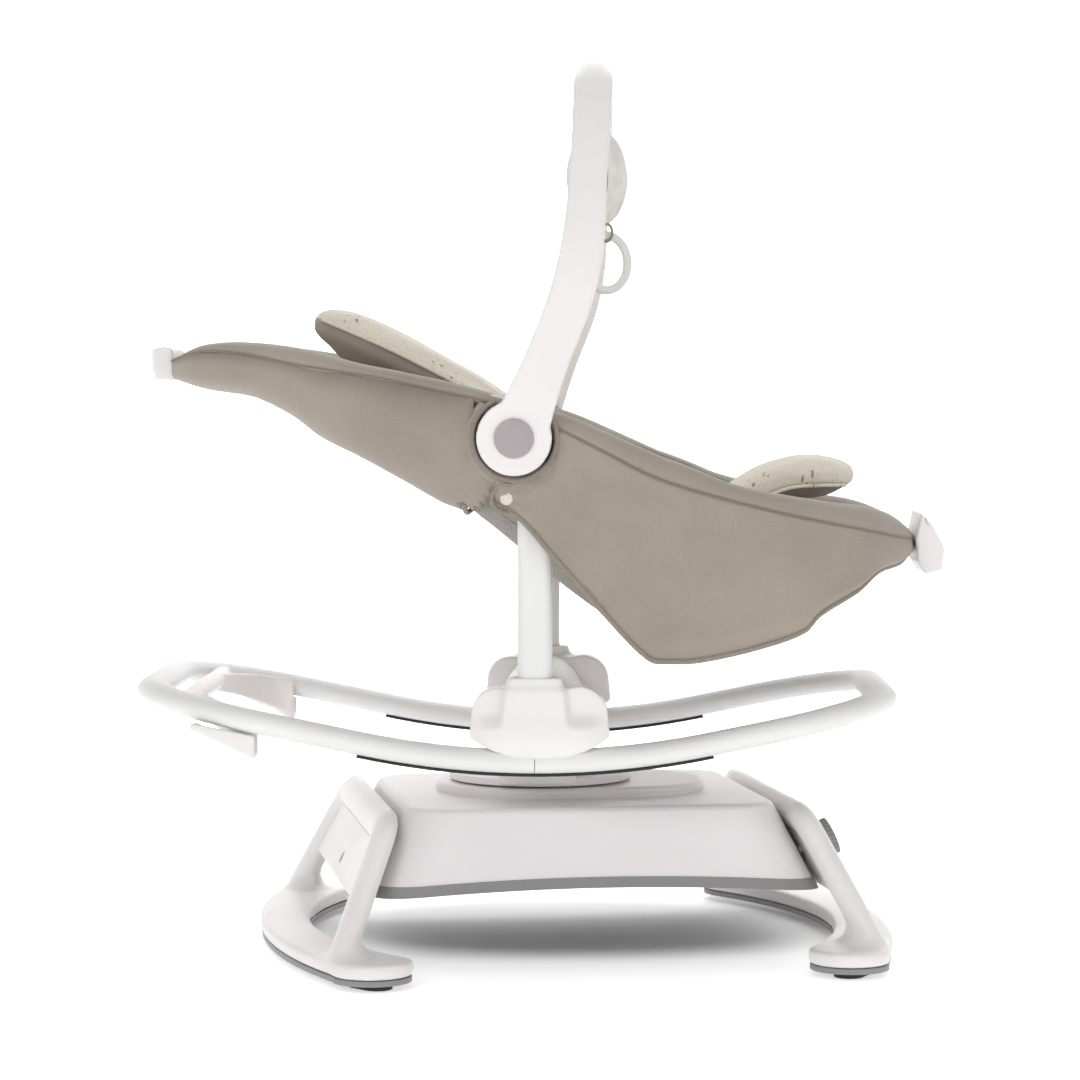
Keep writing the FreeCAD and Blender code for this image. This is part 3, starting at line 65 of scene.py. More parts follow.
# The soft parts are worked out in the seat's own frame, in millimetres: the origin is on the floor under
# the turning axis of the seat, X runs towards the foot end and Z up.
disc_low, disc_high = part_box("turntable")
AXIS = (disc_low + disc_high) / 2
HUB_X, HUB_Z = -17, 466
WIDE = 216              # half width of the seat at the hubs
BELLY_END = -61         # where the underside of the head half ends
HEAD_START, HEAD_REACH = -100, 238
FOOT_START, FOOT_REACH = 120, 222
NEAR_HUB = 36           # radius of the cut-out round a hub
SNAP_X, SNAP_Z = -24, 414
TOY_X, TOY_Z, TOY_HALF = 52, 702, 43.5
INSERT_HALF = 104
CLOTH, LINING = 0.0014, 0.0018   # thickness of the outer cloth and of the inner walls, in metres

RIM = [(-352, 528), (-324, 542), (-300, 549), (-259, 549), (-204, 542), (-159, 531), (-115, 523),
       (-72, 514), (-25, 502), (22, 490), (56, 477), (99, 460), (142, 443), (172, 430), (212, 419),
       (274, 409), (308, 404), (330, 395), (352, 372)]
BELLY = [(-350, 524), (-303, 509), (-253, 501), (-216, 485), (-189, 465), (-153, 447), (-118, 428),
         (-83, 408), (-61, 399), (-14, 362), (21, 332), (56, 306), (100, 276), (143, 266), (196, 277),
         (248, 306), (285, 327), (320, 350), (352, 376)]
HEAD_SEAM = [(-345, 530), (-320, 537), (-299, 541), (-258, 539), (-203, 528), (-137, 518), (-81, 506),
             (-42, 498), (-15, 491)]
FOOT_SEAM = [(-10, 487), (18, 475), (56, 456), (99, 434), (133, 422), (176, 410), (229, 397), (283, 385),
             (341, 371)]
SKIRT = [(-31, 409), (-12, 397), (18, 363), (56, 320), (98, 277), (116, 274), (143, 275), (196, 286),
         (236, 299), (248, 311), (285, 331), (305, 347), (330, 354), (345, 366)]
FLAP = [(-75, 396), (-63, 398), (-45, 409), (-25, 424)]
INSERT = [(-210, 571), (-160, 550), (-120, 533), (-40, 493), (20, 434), (70, 366), (118, 320), (157, 337),
          (178, 401), (211, 425), (250, 430), (290, 427)]


def at(x, y, z):
    """A point of the seat frame, in millimetres, as a point of the row frame."""
    return Vector((AXIS.x + x / 1000, AXIS.y + y / 1000, z / 1000))


def level(points, x):
    """Smooth height at x through a list of (x, z) points."""
    if x <= points[0][0]:
        return points[0][1]
    if x >= points[-1][0]:
        return points[-1][1]
    i = max(k for k in range(len(points) - 1) if points[k][0] <= x)
    (x0, z0), (x1, z1) = points[i], points[i + 1]
    before, after = points[max(i - 1, 0)], points[min(i + 2, len(points) - 1)]
    slope0 = (z1 - before[1]) / (x1 - before[0])
    slope1 = (after[1] - z0) / (after[0] - x0)
    span, t = x1 - x0, (x - x0) / (x1 - x0)
    a, b = 2 * t**3 - 3 * t**2 + 1, t**3 - 2 * t**2 + t
    return a * z0 + b * span * slope0 + (1 - a) * z1 + (t**3 - t**2) * span * slope1


def smooth_step(value, low, high):
    t = min(1.0, max(0.0, (value - low) / (high - low)))
    return t * t * (3 - 2 * t)


def half_width(x, inset=0.0):
    """Half width of the seat's plan shape at x, drawn in by inset."""
    half = WIDE - inset
    if x < HEAD_START:
        along = (HEAD_START - x) / (HEAD_REACH - inset)
    elif x > FOOT_START:
        along = (x - FOOT_START) / (FOOT_REACH - inset)
    else:
        return half
    return half * math.sqrt(max(0.0, 1 - along * along))


def plan_path(start_x, end, steps):
    """Points (x, y, normal_x, normal_y) of the plan outline, from the near side at start_x round one end
    to the far side.  end is -1 for the head end and 1 for the foot end."""
    centre, reach = (HEAD_START, HEAD_REACH) if end < 0 else (FOOT_START, FOOT_REACH)
    straight = abs(centre - start_x)
    quarter = math.pi / 2 * (reach + WIDE) / 2
    side = []
    for k in range(steps + 1):
        s = (straight + quarter) * k / steps
        if s < straight:
            side.append((start_x + end * s, -WIDE, 0.0, -1.0))
        else:
            turn = (s - straight) / quarter * math.pi / 2
            nx, ny = end * math.sin(turn) * WIDE, -math.cos(turn) * reach
            size = math.hypot(nx, ny)
            x, y = centre + end * reach * math.sin(turn), -WIDE * math.cos(turn)
            side.append((x, y, nx / size, ny / size))
    return side + [(x, -y, nx, -ny) for x, y, nx, ny in reversed(side[:-1])]


# ---------------- materials
def linear(*rgb):
    """Colour as seen on a screen, 0 to 255, as the linear values that shaders take."""
    out = []
    for value in rgb:
        v = value / 255
        out.append(v / 12.92 if v <= 0.04045 else ((v + 0.055) / 1.055) ** 2.4)
    return (*out, 1.0)


def shaded(colour, factor):
    """A colour made darker or lighter by a factor."""
    return tuple(min(1.0, c * factor) for c in colour[:3]) + (1.0,)


class Shader:
    """A material with a principled shader, and short calls that add nodes to it."""

    def __init__(self, name, rough=0.5, metal=0.0, **sockets):
        self.material = bpy.data.materials.new(name)
        self.material.use_nodes = True
        self.tree = self.material.node_tree
        self.main = self.tree.nodes["Principled BSDF"]
        self.main.inputs["Roughness"].default_value = rough
        self.main.inputs["Metallic"].default_value = metal
        for socket, value in sockets.items():
            self.main.inputs[socket.replace("_", " ")].default_value = value
        self.place = self.add("ShaderNodeTexCoord").outputs["Object"]

    def add(self, kind, inputs=None, **settings):
        node = self.tree.nodes.new(kind)
        for key, value in settings.items():
            setattr(node, key, value)
        for key, value in (inputs or {}).items():
            if isinstance(value, bpy.types.NodeSocket):
                self.tree.links.new(value, node.inputs[key])
            else:
                node.inputs[key].default_value = value
        return node

    def stretched(self, *scale):
        return self.add("ShaderNodeMapping", {"Vector": self.place, "Scale": scale}).outputs["Vector"]

    def grain(self, scale, detail=3.0, rough=0.55, where=None):
        inputs = {"Vector": where or self.place, "Scale": scale, "Detail": detail, "Roughness": rough}
        return self.add("ShaderNodeTexNoise", inputs).outputs["Fac"]

    def ramp(self, value, *stops):
        node = self.add("ShaderNodeValToRGB", {"Fac": value})
        elements = node.color_ramp.elements
        while len(elements) < len(stops):
            elements.new(0.5)
        for element, (position, colour) in zip(elements, stops):
            element.position = position
            element.color = colour
        return node.outputs["Color"]

    def sums(self, operation, a, b):
        return self.add("ShaderNodeMath", {0: a, 1: b}, operation=operation).outputs[0]

    def mixed(self, share, a, b, blend="MIX"):
        node = self.add("ShaderNodeMix", data_type="RGBA", blend_type=blend)
        for index, value in ((0, share), (6, a), (7, b)):
            if isinstance(value, bpy.types.NodeSocket):
                self.tree.links.new(value, node.inputs[index])
            else:
                node.inputs[index].default_value = value
        return node.outputs[2]

    def colour(self, value):
        self.tree.links.new(value, self.main.inputs["Base Color"])
        return self

    def rough_from(self, value, low, high):
        node = self.add("ShaderNodeMapRange", {"Value": value, "To Min": low, "To Max": high})
        self.tree.links.new(node.outputs[0], self.main.inputs["Roughness"])
        return self

    def bump(self, height, distance, strength=1.0):
        node = self.add("ShaderNodeBump", {"Height": height, "Distance": distance, "Strength": strength})
        self.tree.links.new(node.outputs["Normal"], self.main.inputs["Normal"])
        return self


def moulded(name, rgb, rough=0.36, coat=0.0, spread=0.03, texture=1800, depth=0.00003, shine=0.4):
    """Moulded plastic: a faint drift of tone, a fine spark texture and uneven gloss."""
    made = Shader(name, rough, Coat_Weight=coat, Coat_Roughness=0.12, Specular_IOR_Level=shine)
    base = linear(*rgb)
    made.colour(made.ramp(made.grain(9, 4), (0.3, shaded(base, 1 - spread)), (0.7, shaded(base, 1 + spread))))
    made.rough_from(made.grain(45, 5), rough - 0.05, rough + 0.07)
    made.bump(made.grain(texture, 2), depth, 0.6)
    return made.material


def metal(name, rgb, rough=0.3, along=(1, 1, 1)):
    """Bare metal with a drawn or turned grain."""
    made = Shader(name, rough, 1.0)
    base = linear(*rgb)
    streaks = made.grain(300, 3, where=made.stretched(*along))
    made.colour(made.ramp(streaks, (0.3, shaded(base, 0.86)), (0.7, base)))
    made.rough_from(streaks, rough - 0.08, rough + 0.1)
    made.bump(streaks, 0.00004, 0.5)
    return made.material


def woven(name, rgb, pitch=0.0011, sheen=0.25, drift=0.10, depth=0.00022, heather=0.05):
    """Plain-weave cloth: crossed threads, a heathered tone, broad soft variation, and painted shade where the
    threads dip.
    """
    made = Shader(name, 0.86, Sheen_Weight=sheen, Sheen_Roughness=0.45, Specular_IOR_Level=0.25)
    base = linear(*rgb)
    inputs = {"Vector": made.place, "Scale": 1 / pitch / 6.2832 * 2, "Distortion": 1.2, "Detail": 1.0,
              "Detail Scale": 2.0}
    waves = []
    for direction in ("X", "Z", "Y"):
        waves.append(made.add("ShaderNodeTexWave", inputs, bands_direction=direction).outputs["Fac"])
    weave = made.sums("MULTIPLY", made.sums("MAXIMUM", waves[0], waves[2]), waves[1])
    fine = made.grain(1500, 2)
    threads = made.sums("ADD", weave, made.sums("MULTIPLY", fine, 0.6))
    broad = made.grain(7, 3)
    tone = made.ramp(broad, (0.3, shaded(base, 1 - drift)), (0.7, shaded(base, 1 + drift)))
    flecks = made.ramp(fine, (0.35, (1 - heather * 2,) * 3 + (1.0,)), (0.65, (1 + heather,) * 3 + (1.0,)))
    # Painted shade: the colour is darkened by up to a tenth where the threads of the weave dip.
    shade = made.ramp(weave, (0.0, (0.9, 0.9, 0.9, 1.0)), (0.5, (1.0, 1.0, 1.0, 1.0)))
    made.colour(made.mixed(1.0, made.mixed(1.0, tone, flecks, "MULTIPLY"), shade, "MULTIPLY"))
    made.bump(threads, depth, 0.7)
    return made.material


def open_mesh():
    """Knitted mesh: light threads round dark cells."""
    made = Shader("open_mesh", 0.8, Sheen_Weight=0.1)
    inputs = {"Vector": made.stretched(1, 1, 1.35), "Scale": 480, "Randomness": 0.25}
    cells = made.add("ShaderNodeTexVoronoi", inputs).outputs["Distance"]
    colour = made.ramp(cells, (0.0, linear(92, 86, 80)), (0.42, linear(112, 106, 99)),
                       (0.62, linear(186, 181, 173)))
    made.colour(made.mixed(made.sums("MULTIPLY", made.grain(30, 3), 0.5), colour, linear(150, 144, 136)))
    made.bump(cells, 0.0006, 0.9)
    return made.material


def sprigged():
    """Cream melange jersey with small grey-brown sprigs."""
    made = Shader("cream_jersey", 0.9, Sheen_Weight=0.3, Sheen_Roughness=0.5, Specular_IOR_Level=0.2)
    fine = made.grain(900, 3)
    cream = made.ramp(fine, (0.3, linear(206, 198, 180)), (0.62, linear(232, 226, 211)))
    bent = made.add("ShaderNodeMapping",
                    {"Vector": made.place, "Scale": (24, 24, 15), "Rotation": (0.5, 0.2, 0.8)})
    cell = made.add("ShaderNodeTexVoronoi", {"Vector": bent.outputs[0], "Scale": 1.0, "Randomness": 0.8})
    leaf_place = made.add("ShaderNodeMapping",
                          {"Vector": made.place, "Scale": (170, 170, 60), "Rotation": (0, 0.7, 0.4)})
    leaf = made.add("ShaderNodeTexVoronoi",
                    {"Vector": leaf_place.outputs[0], "Scale": 1.0, "Randomness": 1.0})
    near = made.ramp(cell.outputs["Distance"], (0.26, (1, 1, 1, 1)), (0.34, (0, 0, 0, 1)))
    drawn = made.ramp(leaf.outputs["Distance"], (0.2, (1, 1, 1, 1)), (0.3, (0, 0, 0, 1)))
    mark = made.sums("MULTIPLY", near, drawn)
    made.colour(made.mixed(made.sums("MULTIPLY", mark, 0.75), cream, linear(126, 116, 103)))
    made.bump(made.sums("ADD", fine, made.grain(2400, 1)), 0.0003, 0.7)
    return made.material


def webbing():
    """Ribbed strap, woven across its width."""
    made = Shader("strap_web", 0.75, Sheen_Weight=0.2)
    ribs = made.add("ShaderNodeTexWave", {"Vector": made.place, "Scale": 190.0, "Distortion": 0.6},
                    bands_direction="DIAGONAL").outputs["Fac"]
    made.colour(made.ramp(made.sums("MULTIPLY", ribs, made.grain(700, 2)), (0.1, linear(92, 85, 78)),
                          (0.6, linear(140, 131, 121))))
    made.bump(ribs, 0.0004, 0.8)
    return made.material


def plush():
    """Short pile with a loose nap."""
    made = Shader("plush_pile", 0.95, Sheen_Weight=0.6, Sheen_Roughness=0.6, Specular_IOR_Level=0.15)
    nap = made.grain(420, 4, 0.7)
    made.colour(made.ramp(made.grain(60, 4), (0.3, linear(214, 210, 203)), (0.7, linear(238, 236, 231))))
    made.bump(made.sums("ADD", nap, made.grain(1300, 2)), 0.0009, 0.8)
    return made.material


def rubber():
    made = Shader("moulded_rubber", 0.7)
    made.colour(made.ramp(made.grain(30, 4), (0.3, linear(34, 34, 35)), (0.7, linear(48, 48, 49))))
    ribs = made.add("ShaderNodeTexWave", {"Vector": made.place, "Scale": 120.0},
                    bands_direction="X").outputs["Fac"]
    made.bump(made.sums("ADD", ribs, made.grain(900, 2)), 0.0003, 0.7)
    return made.material


def printed_board():
    made = Shader("printed_board", 0.4, Coat_Weight=0.4)
    tracks = made.add("ShaderNodeTexBrick", {"Vector": made.place, "Scale": 160.0,
                                             "Color1": linear(20, 84, 44), "Color2": linear(26, 98, 52),
                                             "Mortar": linear(150, 130, 60), "Mortar Size": 0.01})
    made.colour(tracks.outputs["Color"])
    made.bump(made.grain(600, 2), 0.0001, 0.5)
    return made.material


MATERIALS = {
    "white_plastic": moulded("white_plastic_moulded", (234, 231, 230), 0.42, shine=0.14),
    "base_white": moulded("base_white_gloss", (236, 232, 233), 0.4, 0.0, 0.02, 2600, 0.00001, 0.14),
    "frame_white": moulded("powder_coat", (230, 230, 229), 0.45, 0.0, 0.02, 1400, 0.00005, 0.14),
    "grey_trim": moulded("grey_trim_moulded", (143, 141, 142), 0.5),
    "dark_plastic": moulded("dark_moulded", (58, 57, 59), 0.5),
    "hub_grey": moulded("hub_grey_satin", (166, 158, 161), 0.48),
    "black_rubber": rubber(),
    "taupe_fabric": woven("taupe_cloth", (166, 156, 145)),
    "mesh_fabric": open_mesh(),
    "cream_fabric": sprigged(),
    "webbing": webbing(),
    "plush_fabric": plush(),
    "ring_plastic": moulded("ring_soft_moulded", (222, 221, 216), 0.5),
    "snap_plastic": moulded("snap_moulded", (222, 212, 200), 0.35, 0.2),
    "steel": metal("bright_steel", (196, 197, 200), 0.28, (1, 1, 12)),
    "gear_plastic": moulded("natural_acetal", (226, 222, 208), 0.45),
    "bronze": metal("sintered_bronze", (190, 150, 96), 0.4),
    "circuit_board": printed_board(),
    "battery_case": moulded("battery_wrap", (70, 74, 86), 0.3, 0.4),
}
PIPING = woven("piping_cloth", (138, 127, 116), 0.0009, depth=0.0003)
THREAD = woven("stitch_thread", (112, 103, 94), 0.0006, depth=0.0002)
BINDING = woven("binding_cloth", (156, 146, 135), 0.0009, depth=0.0003)

for node_name, node in NODES.items():
    node.data.materials.clear()
    node.data.materials.append(MATERIALS[SLOT_OF[node_name]])


# ---------------- helpers
def piece(name, mesh, slot_name, body="seat", material=None, replaced=()):
    """A new object from a mesh or bmesh, with its finish, its body and the CAD nodes it stands for."""
    if isinstance(mesh, bmesh.types.BMesh):
        data = bpy.data.meshes.new(name)
        mesh.to_mesh(data)
        mesh.free()
    else:
        data = mesh
    obj = bpy.data.objects.new(name, data)
    bpy.context.scene.collection.objects.link(obj)
    data.materials.clear()
    data.materials.append(material or MATERIALS[slot_name])
    shade_smooth(obj)
    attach(obj, body)
    if replaced:
        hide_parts(*replaced)
    return obj


def shade_smooth(obj):
    obj.data.polygons.foreach_set("use_smooth", [True] * len(obj.data.polygons))


def cad_copy(node_name, ending):
    """A piece that starts as a copy of a CAD node and stands for it."""
    node = NODES[node_name]
    return piece(node_name + ending, node.data.copy(), SLOT_OF[node_name], node["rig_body"],
                 replaced=[node_name])


def applied(obj):
    """Replaces an object's mesh by its modifiers' result."""
    bpy.context.view_layer.update()
    evaluated = obj.evaluated_get(bpy.context.evaluated_depsgraph_get())
    mesh = bpy.data.meshes.new_from_object(evaluated)
    obj.modifiers.clear()
    obj.data = mesh
    return obj


def grid(columns, close=False):
    """A sheet through columns of points, all with the same count."""
    made = bmesh.new()
    verts = [[made.verts.new(p) for p in column] for column in columns]
    last = len(columns) if close else len(columns) - 1
    for i in range(last):
        a, b = verts[i], verts[(i + 1) % len(columns)]
        for j in range(len(a) - 1):
            made.faces.new((a[j], b[j], b[j + 1], a[j + 1]))
    return made


def tube(name, points, radius, slot_name, body="seat", material=None, closed=False):
    """A round cord or binding along points of the row frame, as a mesh."""
    curve = bpy.data.curves.new(name, "CURVE")
    curve.dimensions = "3D"
    curve.bevel_depth = radius
    curve.bevel_resolution = 3
    spline = curve.splines.new("POLY")
    spline.points.add(len(points) - 1)
    for target, point in zip(spline.points, points):
        target.co = (*point, 1)
    spline.use_cyclic_u = closed
    curve.use_fill_caps = not closed
    holder = bpy.data.objects.new(name, curve)
    mesh = bpy.data.meshes.new_from_object(holder)
    bpy.data.objects.remove(holder)
    return piece(name, mesh, slot_name, body, material)


def weld(obj):
    """Joins points that lie on each other and turns all faces outwards."""
    made = bmesh.new()
    made.from_mesh(obj.data)
    bmesh.ops.remove_doubles(made, verts=made.verts, dist=0.00002)
    bmesh.ops.recalc_face_normals(made, faces=made.faces)
    made.to_mesh(obj.data)
    made.free()


def softened(node_name, voxel, rounds, fillet=0.0):
    """A copy of a moulded CAD node with its edges eased and its inner corners filled to a radius."""
    obj = cad_copy(node_name, "_moulding")
    weld(obj)
    flowing(obj, voxel, rounds, fillet)
    return obj


def flowing(obj, voxel, rounds, fillet=0.0):
    """Remeshes a solid, fills its inner corners by swelling and shrinking it, and smooths it."""
    def voxels():
        remesh = obj.modifiers.new("remesh", "REMESH")
        remesh.mode = "VOXEL"
        remesh.voxel_size = voxel
    voxels()
    for strength in (fillet, -fillet) if fillet else ():
        push = obj.modifiers.new("push", "DISPLACE")
        push.strength = strength
        push.mid_level = 0.0
        voxels()
    smooth = obj.modifiers.new("smooth", "LAPLACIANSMOOTH")
    smooth.lambda_factor = 1.2
    smooth.iterations = rounds
    smooth.use_volume_preserve = True
    applied(obj)
    shade_smooth(obj)


def eased(node_name, width):
    """A copy of a crisp CAD node with small rounds along its edges."""
    obj = cad_copy(node_name, "_eased")
    weld(obj)
    made = bmesh.new()
    made.from_mesh(obj.data)
    bmesh.ops.dissolve_limit(made, angle_limit=math.radians(1.5), verts=made.verts, edges=made.edges)
    made.to_mesh(obj.data)
    made.free()
    bevel = obj.modifiers.new("rounds", "BEVEL")
    bevel.width = width
    bevel.segments = 3
    bevel.limit_method = "ANGLE"
    bevel.angle_limit = math.radians(40)
    applied(obj)
    shade_smooth(obj)
    keep_sharp(obj, 35)


def keep_sharp(obj, degrees):
    """Marks edges sharper than an angle, so that flat faces stay flat when shaded smooth."""
    made = bmesh.new()
    made.from_mesh(obj.data)
    for edge in made.edges:
        edge.smooth = not (len(edge.link_faces) == 2 and edge.calc_face_angle(0) > math.radians(degrees))
    made.to_mesh(obj.data)
    made.free()


def crease(x, z, x0, z0, x1, z1, depth, width):
    """How far a fold line from (x0, z0) to (x1, z1) draws the cloth in at (x, z)."""
    dx, dz = x1 - x0, z1 - z0
    t = ((x - x0) * dx + (z - z0) * dz) / (dx * dx + dz * dz)
    t_in = min(1, max(0, t))
    away = math.hypot(x - x0 - dx * t_in, z - z0 - dz * t_in)
    return depth * math.exp(-(away / width) ** 2) * math.sin(math.pi * min(1, max(0.0, 0.15 + 0.7 * t_in)))


FOLDS = [
    (-215, 520, -160, 531, 2.6, 6), (-170, 512, -110, 520, 1.6, 7), (-95, 500, -60, 470, 1.8, 6),
    (-62, 455, -75, 420, 1.5, 6), (-120, 470, -60, 440, 1.0, 12), (-290, 538, -230, 526, 1.6, 7),
    (24, 452, 60, 430, 1.2, 8), (22, 440, 40, 400, 1.2, 7), (-20, 400, 30, 372, 1.4, 6),
    (290, 384, 318, 402, 1.6, 6), (250, 330, 320, 372, 1.6, 12), (140, 300, 240, 340, 1.2, 22),
    (60, 350, 200, 390, 0.9, 26),
]


def drape(x, z, side):
    """Small inward and outward relief of the outer cloth: folds, puckers and a loose hand."""
    out = 0.0
    for x0, z0, x1, z1, depth, width in FOLDS:
        out -= crease(x, z, x0, z0, x1, z1, depth, width)
    away = math.hypot(x - HUB_X, z - HUB_Z)
    turn = math.atan2(z - HUB_Z, x - HUB_X)
    out += 1.1 * math.sin(9 * turn + side) * math.exp(-((away - 44) / 12) ** 2)
    snap = math.hypot(x - SNAP_X, z - SNAP_Z)
    out -= 1.8 * math.exp(-(snap / 9) ** 2)
    out += 0.8 * math.sin(7 * math.atan2(z - SNAP_Z, x - SNAP_X)) * math.exp(-((snap - 14) / 7) ** 2)
    seam = level(HEAD_SEAM, x) if x < -40 else level(FOOT_SEAM, x)
    calm = min(1.0, max(0.0, away - 38) / 26) * min(1.0, max(0.0, seam - z) / 22)
    out += 1.5 * noise.noise(Vector((x / 60, side * 3, z / 45))) * calm
    return out


# ---------------- soft parts
def section(x, top, low, half, power, count):
    """Points of a round-bottomed section across the seat, from the near top to the far top."""
    points = []
    for k in range(count + 1):
        turn = math.pi * k / count
        y = -math.copysign(abs(math.cos(turn)) ** (2 / power), math.cos(turn)) * half
        z = top - (top - low) * abs(math.sin(turn)) ** (2 / power)
        points.append((x, y, z))
    return points


def stations(first, last, count, ease_first=False):
    """Places from first to last, closer together towards first if ease_first."""
    out = []
    for k in range(count + 1):
        t = k / count
        if ease_first:
            t = 1 - math.cos(math.pi / 2 * t)
        out.append(first + (last - first) * t)
    return out


def head_cover():
    """Outer cloth of the head half: a bag round the end, open under the hubs."""
    columns = []
    for x in stations(HEAD_START - HEAD_REACH + 0.3, -16, 84, True):
        top, low = level(HEAD_SEAM, x), level(BELLY, x)
        points = section(x, top, low, half_width(x, -0.5), 7.0, 120)
        shaped = []
        for px, py, pz in points:
            side = -1 if py < 0 else 1
            push = drape(px, pz, side) * min(1.0, abs(py) / (half_width(x) + 1)) ** 6
            shaped.append(at(px, py + side * push, pz + 0.8 * noise.noise(Vector((px / 50, py / 50, 1)))))
        columns.append(shaped)
    made = grid(columns)
    dead = []
    for face in made.faces:
        c = face.calc_center_median()
        x, y, z = (c.x - AXIS.x) * 1000, (c.y - AXIS.y) * 1000, c.z * 1000
        if math.hypot(x - HUB_X, z - HUB_Z) < NEAR_HUB or (x > -70 and z < level(FLAP, x)) or x > HUB_X + 2:
            dead.append(face)
        elif x > BELLY_END and abs(y) < WIDE * 0.9:
            dead.append(face)
    bmesh.ops.delete(made, geom=dead, context="FACES")
    for vert in made.verts:
        x, z = (vert.co.x - AXIS.x) * 1000, vert.co.z * 1000
        away = math.hypot(x - HUB_X, z - HUB_Z)
        if vert.is_boundary and away < NEAR_HUB + 5 and z < level(HEAD_SEAM, x) - 6:
            vert.co.x = AXIS.x + (HUB_X + (x - HUB_X) * NEAR_HUB / away) / 1000
            vert.co.z = (HUB_Z + (z - HUB_Z) * NEAR_HUB / away) / 1000
    obj = piece("head_cover", made, "taupe_fabric", replaced=["cover_head"])
    thicken(obj, CLOTH)
    end = section(BELLY_END, level(HEAD_SEAM, BELLY_END), level(BELLY, BELLY_END), WIDE, 7.0, 160)
    hem = [at(*p) for p in end if p[2] < 410]
    tube("belly_hem", hem, 0.0024, "taupe_fabric", material=BINDING)


def thicken(obj, thickness, offset=-1):
    """Gives a sheet of cloth its thickness, inwards."""
    made = bmesh.new()
    made.from_mesh(obj.data)
    bmesh.ops.recalc_face_normals(made, faces=made.faces)
    made.to_mesh(obj.data)
    made.free()
    solid = obj.modifiers.new("thickness", "SOLIDIFY")
    solid.thickness = thickness
    solid.offset = offset
    solid.use_even_offset = False
    applied(obj)
    shade_smooth(obj)


def skirt_top(x):
    """Upper edge of the foot cover: the seam, or the cut-out under the hub."""
    if abs(x - HUB_X) >= NEAR_HUB:
        return level(FOOT_SEAM, x)
    return HUB_Z - math.sqrt(NEAR_HUB**2 - (x - HUB_X) ** 2)


def foot_skirt():
    """Outer cloth of the foot half, hanging from the seam to a bound lower edge."""
    columns, edge, rows = [], [], 40
    for x, y, nx, ny in plan_path(-34, 1, 110):
        side = -1 if y < 0 else 1
        top, low = skirt_top(x), level(SKIRT, x)
        low = min(low, top - 3)
        column = []
        for k in range(rows + 1):
            t = k / rows
            z = top + (low - top) * t
            out = 0.8 + 2.6 * math.sin(math.pi * t) + drape(x, z, side) * min(1, 6 * t)
            if x > 180:
                out += 1.8 * math.sin(t * 3) * math.sin(x / 11.0 + side)
            out -= 5.0 * max(0, t - 0.86) / 0.14 * (1 if x > 60 else 0.4)
            column.append(at(x + nx * out, y + ny * out, z))
        edge.append(column[-1].copy())
        for inward, rise in ((0.003, -0.0012), (0.010, 0.002)):
            column.append(edge[-1] + Vector((-nx * inward, -ny * inward, rise)))
        columns.append(column)
    obj = piece("foot_skirt", grid(columns), "taupe_fabric", replaced=["cover_foot"])
    thicken(obj, CLOTH)
    tube("skirt_binding", edge, 0.0026, "taupe_fabric", material=BINDING)
    for index, rise in enumerate((0.006, 0.0105)):
        tube(f"skirt_stitch_{index}", [p + Vector((0, 0, rise)) + outward(p, 0.0004) for p in edge], 0.0005,
             "taupe_fabric", material=THREAD)


def outward(point, distance):
    """A step away from the seat's middle line in plan."""
    x, y = point.x - AXIS.x, point.y - AXIS.y
    size = max(1e-6, math.hypot(x * 0.3, y))
    return Vector((x * 0.3, y, 0)) * (distance / size)


def roll(name, start_x, end, line, seam, lower=0.0, width=20.0):
    """Padded rim over the frame tube, a soft roll from the seam over to the inside."""
    columns = []
    path = plan_path(start_x, end, 90)
    count = 28
    total = len(path) - 1
    for i, (x, y, nx, ny) in enumerate(path):
        side = -1 if y < 0 else 1
        top = level(line, x) - lower * max(0.0, 1 - abs(x - 110) / 110)
        drop = max(8.0, top - level(seam, x))
        taper = min(1.0, 0.88 + 0.12 * min(i, total - i) / 8)
        pinch = 1 + 0.05 * math.sin(x / 8.5 + side) + 0.1 * noise.noise(Vector((x / 30, y / 30, 2)))
        column = []
        for k in range(count):
            turn = 2 * math.pi * k / count
            c, s = math.cos(turn), math.sin(turn)
            o = -width + (width + 0.6) * math.copysign(abs(c) ** 0.9, c) * pinch ** (0.5 if c < 0 else 0.0)
            o -= 3.2 * min(1.0, max(0.0, -6 * s)) + 2.5 * max(0.0, -s)
            high = drop if s > 0 else 13.0
            z = top - drop + high * math.copysign(abs(s) ** 0.85, s) * taper
            column.append(at(x + nx * o, y + ny * o, z))
        column.append(column[0].copy())
        columns.append(column)
    made = grid(columns)
    bmesh.ops.remove_doubles(made, verts=made.verts, dist=0.00001)
    bmesh.ops.holes_fill(made, edges=[e for e in made.edges if e.is_boundary], sides=count + 2)
    obj = piece(name, made, "taupe_fabric")
    seam_line = []
    for x, y, nx, ny in path:
        seam_line.append(at(x + nx * 1.0, y + ny * 1.0, level(seam, x) + 0.3))
    tube(name + "_seam", seam_line, 0.0008, "taupe_fabric", material=PIPING)


